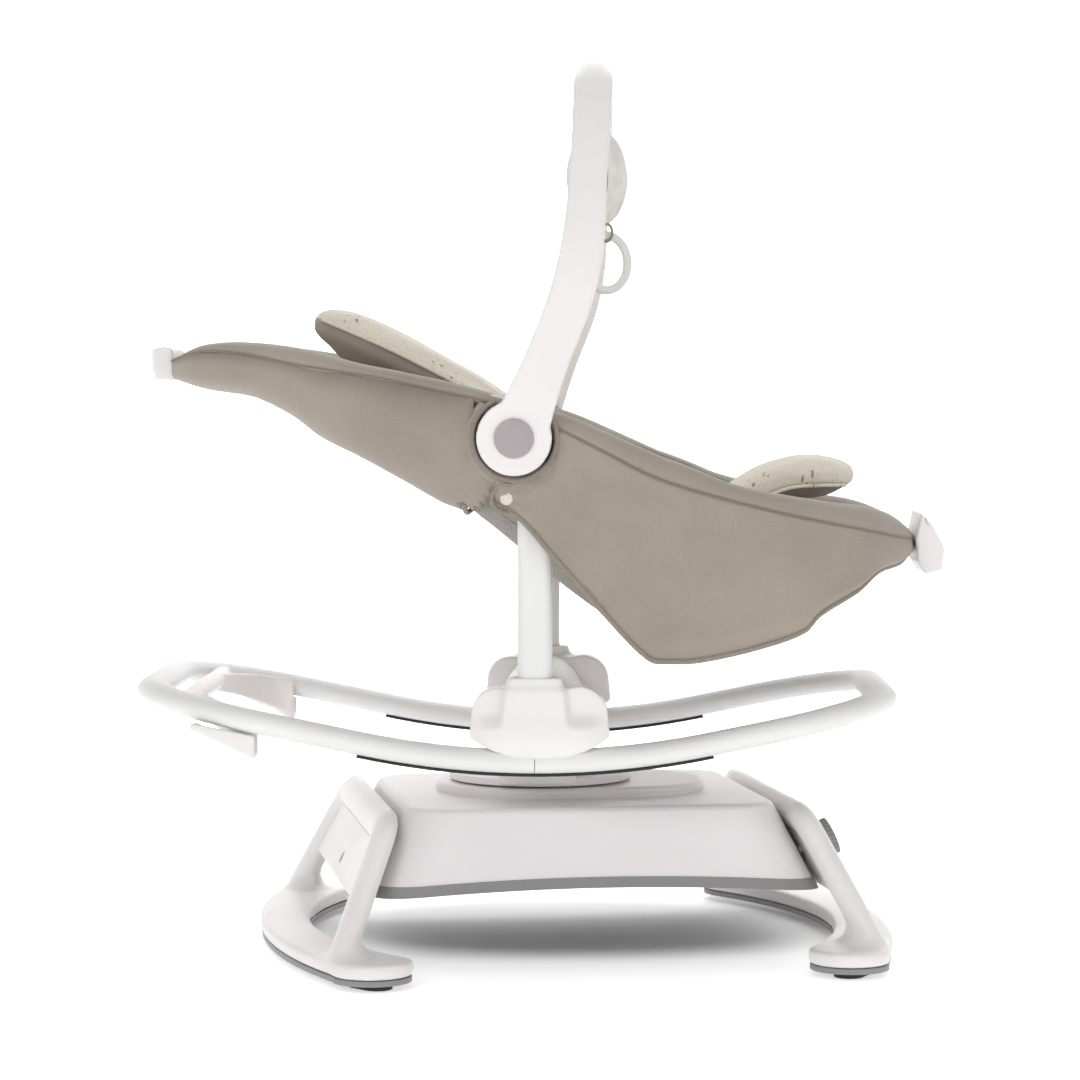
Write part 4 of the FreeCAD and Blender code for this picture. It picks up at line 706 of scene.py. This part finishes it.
def liner():
    """Inside of the seat: cloth walls down to a mesh hammock that hangs below the hubs."""
    columns = []
    xs = stations(HEAD_START - HEAD_REACH + 41, -60, 40, True) + stations(-56, 120, 40)[1:]
    foot_end = FOOT_START + FOOT_REACH - 41
    xs += [foot_end - (x - foot_end) for x in reversed(stations(foot_end, 2 * foot_end - 124, 34, True))]
    for x in xs:
        lift = 0.6 if -66 <= x < 96 else 6
        low = level(BELLY, x) + lift + (1.5 if -66 <= x < -58 else 0)
        top = level(RIM, x) - 8
        half = min(176.0, half_width(x, 38))
        columns.append([at(*p) for p in section(x, top, low, half, 2.7, 72)])
    made = grid(columns)
    lower, upper = made.copy(), made
    for copy, keep_low in ((lower, True), (upper, False)):
        dead = []
        for face in copy.faces:
            c = face.calc_center_median()
            x, z = (c.x - AXIS.x) * 1000, c.z * 1000
            is_low = z < level(BELLY, x) + 26
            if is_low != keep_low:
                dead.append(face)
        bmesh.ops.delete(copy, geom=dead, context="FACES")
    mesh_part = piece("mesh_hammock", lower, "mesh_fabric", replaced=["seat_sling"])
    thicken(mesh_part, LINING, 1)
    walls = piece("inner_walls", upper, "taupe_fabric")
    thicken(walls, LINING, 1)
    for side in (-1, 1):
        line = []
        for x in stations(-66, 100, 40):
            low, top = level(BELLY, x) + 0.6, level(RIM, x) - 8
            share = (top - low - 24.5) / (top - low)
            y = 176.0 * (1 - share**2.7) ** (1 / 2.7)
            line.append(at(x, side * (y + 1.4), low + 25.4))
        word = "near" if side < 0 else "far"
        tube(f"mesh_binding_{word}", line, 0.0018, "taupe_fabric", material=BINDING)


def insert_line(count):
    """Evenly spaced (x, z, tangent) along the middle of the newborn insert."""
    curve = bpy.data.curves.new("insert_line", "CURVE")
    curve.dimensions = "3D"
    curve.resolution_u = 24
    spline = curve.splines.new("NURBS")
    spline.points.add(len(INSERT) - 1)
    for target, (x, z) in zip(spline.points, INSERT):
        target.co = (x, 0, z, 1)
    spline.order_u = 3
    spline.use_endpoint_u = True
    holder = bpy.data.objects.new("insert_line", curve)
    mesh = bpy.data.meshes.new_from_object(holder)
    fine = [v.co.copy() for v in mesh.vertices]
    bpy.data.objects.remove(holder)
    far = [0.0]
    for a, b in zip(fine, fine[1:]):
        far.append(far[-1] + (b - a).length)
    out = []
    for k in range(count + 1):
        goal = far[-1] * k / count
        i = max(j for j in range(len(far) - 1) if far[j] <= goal or j == 0)
        share = (goal - far[i]) / max(1e-9, far[i + 1] - far[i])
        point = fine[i].lerp(fine[i + 1], min(1, share))
        out.append((point.x, point.z, (fine[i + 1] - fine[i]).normalized()))
    return out


def insert_thickness(t):
    """Thickness along the insert: fuller at the head pillow and at the foot end."""
    return 26 + 14 * math.exp(-((t - 0.07) / 0.12) ** 2) + 7 * math.exp(-((t - 0.93) / 0.1) ** 2)


def insert_seam(t):
    """Height of the piped edge above the middle line: low at the foot end, where the cream wraps round."""
    return insert_thickness(t) * (0.14 - 0.34 * smooth_step(t, 0.70, 0.86))


def insert_half(t):
    """Half width along the insert: rounded at both ends, a little narrower at the waist."""
    ends = (1 - abs(2 * t - 1) ** 7) ** 0.5
    return (INSERT_HALF - 8 * math.exp(-((t - 0.45) / 0.12) ** 2)) * ends


def insert_pad():
    """Newborn insert: cream upper face, taupe underside, joined at a piped edge."""
    middle, around = insert_line(96), 44
    columns = []
    edge = {-1: [], 1: []}
    for index, (x, z, tangent) in enumerate(middle):
        t = index / (len(middle) - 1)
        half, thick = max(3.0, insert_half(t)), insert_thickness(t)
        ends = min(1.0, (1 - abs(2 * t - 1) ** 16) ** 0.5 + 0.06)
        normal = Vector((-tangent.z, 0, tangent.x))
        column = []
        for k in range(around):
            turn = 2 * math.pi * k / around
            c, s = math.cos(turn), math.sin(turn)
            y = half * math.copysign(abs(c) ** 0.55, c)
            across = abs(y) / INSERT_HALF
            crown = thick / 2 * math.copysign(abs(s) ** 0.62, s) * ends
            channel = 2.2 * math.exp(-((abs(y) - 46) / 5) ** 2) if s > 0 else 0
            dish = 6 * across**2 if s > 0 else 0
            off = crown - channel * ends + dish * ends * 0.4
            column.append(at(x + normal.x * off, y, z + normal.z * off))
        column.append(column[0].copy())
        columns.append(column)
        for side in (-1, 1):
            off = insert_seam(t)
            edge[side].append(at(x + normal.x * off, side * (half + 0.2), z + normal.z * off))
    made = grid(columns)
    bmesh.ops.remove_doubles(made, verts=made.verts, dist=0.00001)
    bmesh.ops.holes_fill(made, edges=[e for e in made.edges if e.is_boundary], sides=around + 2)
    obj = piece("newborn_insert", made, "cream_fabric", replaced=["body_insert"])
    puffed(obj, 0.005, 0.004)
    split_faces(obj, middle)
    line = edge[-1][2:-2] + list(reversed(edge[1][2:-2]))
    tube("insert_piping", line, 0.0016, "cream_fabric", closed=True)


def puffed(obj, voxel, cap):
    """Swells a pad with a short cloth simulation, each point held near where it began."""
    weld(obj)
    remesh = obj.modifiers.new("remesh", "REMESH")
    remesh.mode = "VOXEL"
    remesh.voxel_size = voxel
    applied(obj)
    before = [v.co.copy() for v in obj.data.vertices]
    scene = bpy.context.scene
    cloth = obj.modifiers.new("cloth", "CLOTH")
    cloth.settings.use_pressure = True
    cloth.settings.uniform_pressure_force = 4
    cloth.settings.effector_weights.gravity = 0
    cloth.settings.quality = 5
    cloth.point_cache.frame_start, cloth.point_cache.frame_end = 1, 20
    for number in range(1, 21):
        scene.frame_set(number)
    moved = obj.evaluated_get(bpy.context.evaluated_depsgraph_get())
    after = [v.co.copy() for v in moved.data.vertices]
    obj.modifiers.clear()
    scene.frame_set(1)
    for vert, old, new in zip(obj.data.vertices, before, after):
        step = new - old
        if step.length > cap:
            step = step * (cap / step.length)
        vert.co = old + step
    finer = obj.modifiers.new("finer", "SUBSURF")
    finer.levels = finer.render_levels = 1
    applied(obj)
    shade_smooth(obj)


def split_faces(obj, middle):
    """Cream on the upper face of the insert and taupe below its piped edge."""
    obj.data.materials.append(MATERIALS["taupe_fabric"])
    for polygon in obj.data.polygons:
        x, z = (polygon.center.x - AXIS.x) * 1000, polygon.center.z * 1000
        index = min(range(len(middle)), key=lambda k: (middle[k][0] - x) ** 2 + (middle[k][1] - z) ** 2)
        mx, mz, tangent = middle[index]
        off = (x - mx) * -tangent.z + (z - mz) * tangent.x
        polygon.material_index = 0 if off > insert_seam(index / (len(middle) - 1)) else 1


def bindings():
    """Bound edges round the hubs and the snap tabs."""
    def by_hub(turn, radius, y):
        return at(HUB_X + radius * math.cos(turn), y, HUB_Z + radius * math.sin(turn))

    for side in (-1, 1):
        word = "near" if side < 0 else "far"
        y = side * (WIDE + 1.6)
        ring = []
        for k in range(61):
            ring.append(by_hub(math.radians(118 + 310 * k / 60), NEAR_HUB + 0.5, y))
        tube(f"hub_binding_{word}", ring, 0.0024, "taupe_fabric", material=BINDING)
        tab = []
        for k in range(25):
            turn = math.radians(75 + 200 * k / 24)
            tab.append(at(SNAP_X + 12.5 * math.cos(turn), y + side * 0.8, SNAP_Z + 12.5 * math.sin(turn)))
        tube(f"snap_binding_{word}", tab, 0.0019, "taupe_fabric", material=BINDING)
        collar = []
        for k in range(81):
            turn = math.radians(118 + 310 * k / 80)
            reach = NEAR_HUB
            while reach < 43:
                x, z = HUB_X + reach * math.cos(turn), HUB_Z + reach * math.sin(turn)
                if z > level(HEAD_SEAM if x < HUB_X else FOOT_SEAM, x) - 2:
                    break
                reach += 1
            column = []
            for j in range(7):
                r = NEAR_HUB - 0.5 + (reach - NEAR_HUB + 0.5) * j / 6
                lift = 1.7 * (1 - j / 6) ** 0.5 - 0.4
                column.append(by_hub(turn, r, side * (WIDE + 0.5 + lift)))
            collar.append(column)
        piece(f"hub_collar_{word}", grid(collar), "taupe_fabric")


def snaps():
    """Domed snap buttons with a rolled rim."""
    made = bmesh.new()
    profile = [(0, 3.4), (2.0, 3.3), (3.4, 2.7), (4.1, 2.5), (4.9, 2.9), (5.5, 2.2), (5.6, 0.6), (5.2, 0.2)]
    for side in (-1, 1):
        columns = []
        for k in range(32):
            turn = 2 * math.pi * k / 32
            c, s = math.cos(turn), math.sin(turn)
            columns.append([at(SNAP_X + r * c, side * (WIDE - 0.4 + d), SNAP_Z + r * s) for r, d in profile])
        part = grid(columns, True)
        mesh = bpy.data.meshes.new("snap")
        part.to_mesh(mesh)
        part.free()
        made.from_mesh(mesh)
    bmesh.ops.remove_doubles(made, verts=made.verts, dist=0.00001)
    bmesh.ops.recalc_face_normals(made, faces=made.faces)
    piece("snap_domes", made, "snap_plastic", replaced=["snap_buttons"])


def toy():
    """Flattened plush drop with gathered pleats, its ribbon and the loop for the ring."""
    columns = []
    rows, around = 40, 72

    def waist(v):
        return math.sin(v) ** 0.8 * (1 - 0.16 * max(0, -math.cos(v)))

    def height(v):
        return TOY_Z + TOY_HALF * math.cos(v) - 2 * math.sin(v) ** 0.8

    for k in range(around):
        turn = 2 * math.pi * k / around
        column = []
        for j in range(rows + 1):
            v = math.pi * j / rows
            wide = waist(v) * (1 + 0.10 * max(0.0, 0.2 - math.cos(v)) * math.cos(11 * turn))
            column.append(at(TOY_X + 28 * wide * math.cos(turn), 35 * wide * math.sin(turn), height(v)))
        columns.append(column)
    made = grid(columns, True)
    bmesh.ops.remove_doubles(made, verts=made.verts, dist=0.00005)
    bmesh.ops.recalc_face_normals(made, faces=made.faces)
    obj = piece("plush_drop", made, "plush_fabric", "plush_toy", replaced=["plush_toy"])
    for index, shift in enumerate((-1, 1)):
        seam = []
        for k in range(41):
            v = math.pi * (0.02 + 0.96 * k / 40)
            seam.append(at(TOY_X + shift * 9.87 * waist(v), -33.2 * waist(v), height(v)))
        tube(f"plush_seam_{index}", seam, 0.0007, "plush_fabric", "plush_toy", THREAD)
    ribbon = bmesh.new()
    bmesh.ops.create_cube(ribbon, size=1.0)
    low, top = TOY_Z + 41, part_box("plush_toy")[1].z * 1000
    for vert in ribbon.verts:
        vert.co = at(TOY_X + vert.co.x * 2.2, vert.co.y * 11, low + (top - low) * (vert.co.z + 0.5))
    bmesh.ops.subdivide_edges(ribbon, edges=ribbon.edges, cuts=3, use_grid_fill=True)
    piece("toy_ribbon", ribbon, "taupe_fabric", "plush_toy", BINDING)
    loop = []
    turn = math.radians(40)
    for k in range(32):
        a = 2 * math.pi * k / 32
        across = 8 * math.cos(a)
        loop.append(at(TOY_X + 9 - across * math.sin(turn), across * math.cos(turn), 651.5 + 8 * math.sin(a)))
    tube("ring_loop", loop, 0.0013, "taupe_fabric", "plush_toy", BINDING, True)


def straps():
    """Waist and crotch webbing with slightly raised edges, lying on the insert."""
    middle = insert_line(200)

    def lifted(x, rise):
        mx, mz, tangent = min(middle, key=lambda place: abs(place[0] - x) + abs(place[1] - 345) * 0.02)
        return mx - tangent.z * rise, mz + tangent.x * rise

    for name, start, stop, low_y, high_y in (
            ("waist_strap_near", 55, 76, -99, -22), ("waist_strap_far", 55, 76, 22, 99),
            ("crotch_strap", 82, 150, -12.5, 12.5)):
        columns = []
        for x in stations(start, stop, 18):
            column = []
            for y in stations(low_y, high_y, 30):
                sag = math.sin(math.pi * (y - low_y) / (high_y - low_y))
                rim = 0.5 if x in (start, stop) else 0
                px, pz = lifted(x, 15.2 + sag + rim)
                column.append(at(px, y, pz))
            columns.append(column)
        first = name == "waist_strap_near"
        obj = piece(name, grid(columns), "webbing", replaced=["harness_straps"] if first else ())
        thicken(obj, LINING, 0)


def end_details():
    """Grey strip on the vibration unit."""
    made = bmesh.new()
    bmesh.ops.create_cube(made, size=1.0)
    for vert in made.verts:
        vert.co = at(351 + vert.co.x * 5.5, vert.co.y * 105.4, 387.5 + vert.co.z * 4 - vert.co.x * 9)
    bmesh.ops.bevel(made, geom=list(made.edges), offset=0.0012, segments=3, affect="EDGES")
    piece("vibration_strip", made, "grey_trim", "seat")


# ---------------- mouldings
def saddles():
    """Saddle mouldings: a boat-shaped skirt over the rail, shoulders set back, and the post's pedestal."""
    for node_name in ("saddle_near", "saddle_far"):
        obj = softened(node_name, 0.0015, 3, 0.004)
        outer = max(abs(v.co.y - AXIS.y) * 1000 for v in obj.data.vertices)
        for vert in obj.data.vertices:
            x, y, z = (vert.co.x - AXIS.x) * 1000, (vert.co.y - AXIS.y) * 1000, vert.co.z * 1000
            deep = min(1.0, max(0.0, (abs(y) - outer + 22) / 22))
            stem = smooth_step(30 - 0.09 * (z - 215) - abs(x), -3, 3)
            wall = smooth_step(z, 213, 229)
            back = 10 * wall * (1 - stem) + 1.5 * stem * wall
            back += 9 * smooth_step(abs(x - 4), 30, 62) ** 2 * (1 - wall)
            back += 5 * smooth_step(206 - z, 0, 16) * (1 - wall)
            vert.co.y -= math.copysign(back * deep / 1000, y)
        obj.data.update()


def kick_stand():
    """U-shaped stand under the head end of the rocker loop, on its rod."""
    rod_low, rod_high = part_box("kickstand_rod")
    centre_x, rod_z = (rod_low.x + rod_high.x) / 2, (rod_low.z + rod_high.z) / 2
    slope = math.tan(math.radians(11.5))
    made = bmesh.new()

    def by_rod(x, y, z):
        return Vector((centre_x + x / 1000, AXIS.y + y / 1000, rod_z + z / 1000))

    def block(points):
        verts = [made.verts.new(p) for p in points]
        for ring in ((0, 1, 2, 3), (7, 6, 5, 4), (0, 4, 5, 1), (1, 5, 6, 2), (2, 6, 7, 3), (3, 7, 4, 0)):
            made.faces.new([verts[i] for i in ring])

    def wall(a, b, low_a, low_b, high_a, high_b, thick):
        out = []
        for rise_a, rise_b in ((low_a, low_b), (high_a, high_b)):
            for (x, y), rise in ((a, rise_a), (b, rise_b)):
                size = math.hypot(x * 2.2, y)
                for step in (0, -thick):
                    px, py = x + x * 2.2 / size * step, y + y / size * step
                    out.append(by_rod(px + 67, py, rise))
        block([out[0], out[2], out[3], out[1], out[4], out[6], out[7], out[5]])

    arc = [(-74 * math.cos(math.radians(t)), 169 * math.sin(math.radians(t))) for t in range(-90, 91, 6)]
    for a, b in zip(arc, arc[1:]):
        fall_a, fall_b = [-(p[0] + 67) * slope for p in (a, b)]
        deep_a, deep_b = [8 + 22 * ((p[0] + 74) / 74) for p in (a, b)]
        wall(a, b, fall_a - deep_a, fall_b - deep_b, fall_a + 7, fall_b + 7, 4.5)
    for side in (-1, 1):
        for k in range(8):
            x0, x1 = [10 + 57 * i / 8 for i in (k, k + 1)]
            rows = []
            for x in (x0, x1):
                under = -x * slope - 11.7
                rows.append((x, under, under - 3.0 - 18 * x / 67))
            for y_in, y_out, full in ((194, 199, True), (165, 199, False)):
                corners = []
                for x, under, low in rows:
                    high = under if full else min(under, low + 4.5)
                    corners.append([by_rod(x, side * y, z)
                                    for y, z in ((y_in, low), (y_out, low), (y_out, high), (y_in, high))])
                block(corners[0] + corners[1])
    sleeve = bmesh.ops.create_cone(made, cap_ends=True, segments=40, radius1=0.0085, radius2=0.0085,
                                   depth=0.336)
    for vert in sleeve["verts"]:
        vert.co = Vector((centre_x + vert.co.x, AXIS.y + vert.co.z, rod_z + vert.co.y))
    bmesh.ops.recalc_face_normals(made, faces=made.faces)
    obj = piece("kickstand_moulding", made, "white_plastic", "kickstand", replaced=["kickstand"])
    flowing(obj, 0.0016, 4, 0.004)


def sunk_tubes():
    """Seat frame tubes, settled into the padding of the rim."""
    for node_name in ("seat_tube_head", "seat_tube_foot"):
        obj = cad_copy(node_name, "_sunk")
        for vert in obj.data.vertices:
            x = (vert.co.x - AXIS.x) * 1000
            vert.co.z -= (4.0 + 6 * max(0.0, 1 - abs(x - 110) / 140)) / 1000
        keep_sharp(obj, 35)


def crowned_arch():
    """Toy arch with a rounded crown."""
    obj = softened("toy_arch", 0.0022, 4)
    top = max(v.co.z for v in obj.data.vertices)
    crown = [v for v in obj.data.vertices if v.co.z > top - 0.012]
    middle = (max(v.co.x for v in crown) + min(v.co.x for v in crown)) / 2
    for vert in obj.data.vertices:
        across = min(1.0, abs(vert.co.x - middle) / 0.0168)
        vert.co.z -= 0.014 * (1 - math.sqrt(1 - across**2)) * smooth_step(vert.co.z, top - 0.026, top)


# ---------------- the pieces
head_cover()
foot_skirt()
roll("head_rim", -14, -1, RIM, HEAD_SEAM)
roll("foot_rim", 8, 1, RIM, FOOT_SEAM, 6.0)
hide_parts("rim_cushion")
liner()
insert_pad()
bindings()
snaps()
toy()
straps()
end_details()

saddles()
kick_stand()
sunk_tubes()
crowned_arch()
for plain, voxel, rounds, fillet in (
        ("leg_frame_foot", 0.0024, 10, 0.011), ("leg_frame_head", 0.0024, 10, 0.011),
        ("post_near", 0.0016, 2, 0.0), ("post_far", 0.0016, 2, 0.0), ("vibration_housing", 0.0015, 9, 0.0),
        ("recline_housing", 0.0015, 6, 0.003)):
    softened(plain, voxel, rounds, fillet)
for crisp, width in (
        ("hub_caps", 0.0009), ("speed_dial", 0.0006), ("power_button", 0.001), ("beam_cover", 0.004),
        ("turntable", 0.0016), ("harness_buckle", 0.002), ("buckle_button", 0.0012), ("foot_pads", 0.0012),
        ("battery_door", 0.0006), ("recline_lever", 0.001), ("vibration_button", 0.001),
        ("sole_trims", 0.0008)):
    eased(crisp, width)
for smooth_name in ("base_shell", "trim_band", "rail_loop_head", "rail_loop_foot", "beam_tray",
                    "end_panel_foot", "end_panel_head", "toy_ring"):
    shade_smooth(NODES[smooth_name])
    keep_normals = NODES[smooth_name].modifiers.new("weighted", "WEIGHTED_NORMAL")
    keep_normals.keep_sharp = True

# ---------------- studio
CAMERA_AWAY = 3.170
CAMERA_TURN = math.radians(1.3)
CAMERA_DIP = math.radians(2.41)
CAMERA_HEIGHT = 0.503


def studio():
    """White floor and backdrop that glow evenly, with a painted shadow under the base where the glow is cut,
    soft boxes, and the camera.
    """
    white = Shader("studio_white_painted_shadow", 0.9)
    white.colour(white.ramp(white.grain(2, 2), (0.3, (0.93, 0.93, 0.93, 1)), (0.7, (0.95, 0.95, 0.95, 1))))
    white.main.inputs["Emission Color"].default_value = (1, 1, 1, 1)
    # Painted shadow: the floor's glow falls from 0.5 to 0.02 in a soft oval patch under the base, so the
    # floor stays dark there.
    painted_shadow_place = white.add("ShaderNodeMapping", {"Vector": white.place, "Location": (-0.06, -0.34, 0),
                                           "Scale": (2.9, 4.2, 1)}).outputs["Vector"]
    painted_shadow_patch = white.add("ShaderNodeTexGradient", {"Vector": painted_shadow_place}, gradient_type="SPHERICAL")
    glow_cut_by_painted_shadow = white.add("ShaderNodeMapRange",
                     {"Value": painted_shadow_patch.outputs["Fac"], "From Max": 0.45, "To Min": 0.5, "To Max": 0.02},
                     interpolation_type="SMOOTHSTEP").outputs[0]
    white.tree.links.new(glow_cut_by_painted_shadow, white.main.inputs["Emission Strength"])
    made = bmesh.new()
    sweep = [(-4.5, 0.0), (-2.0, 0.0), (-1.0, 0.0), (0.8, 0.0), (1.1, 0.0), (1.4, 0.0), (2.2, 0.12),
             (2.8, 0.6), (3.0, 1.3), (3.0, 4.5)]
    for x in (-6, 6):
        for y, z in sweep:
            made.verts.new((x, y, z))
    made.verts.ensure_lookup_table()
    for k in range(len(sweep) - 1):
        made.faces.new([made.verts[i] for i in (k, k + 1, k + 1 + len(sweep), k + len(sweep))])
    data = bpy.data.meshes.new("studio_floor")
    made.to_mesh(data)
    made.free()
    floor = bpy.data.objects.new("studio_floor", data)
    floor.location.z = -0.0002
    data.materials.append(white.material)
    bpy.context.scene.collection.objects.link(floor)
    bend = floor.modifiers.new("smooth", "SUBSURF")
    bend.levels = bend.render_levels = 3
    scene = bpy.context.scene
    world = bpy.data.worlds.new("studio")
    world.use_nodes = True
    tree = world.node_tree
    place = tree.nodes.new("ShaderNodeTexCoord")
    split = tree.nodes.new("ShaderNodeSeparateXYZ")
    fade = tree.nodes.new("ShaderNodeValToRGB")
    for element, position, grey in zip(fade.color_ramp.elements, (0.0, 0.9), (0.56, 0.26)):
        element.position = position
        element.color = (grey, grey, grey, 1)
    tree.links.new(place.outputs["Generated"], split.inputs[0])
    tree.links.new(split.outputs["Z"], fade.inputs[0])
    tree.links.new(fade.outputs[0], tree.nodes["Background"].inputs["Color"])
    scene.world = world
    for name, place, aim, size, power in (
            ("key", (-1.2, -2.8, 1.9), (0, 0, 0.4), 1.8, 28),
            ("fill", (2.2, -2.4, 0.9), (0, 0, 0.4), 2.0, 14),
            ("top", (0, 0.2, 3.0), (0, 0, 0.3), 2.6, 18),
            ("back", (0.3, 2.0, 2.2), (0, 3.0, 0.8), 3.0, 60)):
        lamp = bpy.data.lights.new(name, "AREA")
        lamp.shape = "DISK"
        lamp.size = size
        lamp.energy = power
        holder = bpy.data.objects.new(name, lamp)
        holder.location = place
        holder.rotation_euler = (Vector(aim) - Vector(place)).to_track_quat("-Z", "Y").to_euler()
        scene.collection.objects.link(holder)
    camera = bpy.data.cameras.new("camera")
    camera.lens = 114.87
    camera.sensor_width = 36
    camera.clip_end = 40
    holder = bpy.data.objects.new("camera", camera)
    holder.location = (AXIS.x + CAMERA_AWAY * math.sin(CAMERA_TURN),
                       AXIS.y - CAMERA_AWAY * math.cos(CAMERA_TURN), CAMERA_HEIGHT)
    aim = Vector((-math.sin(CAMERA_TURN), math.cos(CAMERA_TURN), -math.tan(CAMERA_DIP)))
    holder.rotation_euler = aim.to_track_quat("-Z", "Y").to_euler()
    scene.collection.objects.link(holder)
    scene.camera = holder
    scene.view_settings.view_transform = "Standard"
    scene.view_settings.look = "None"
    scene.view_settings.exposure = 0.0


studio()
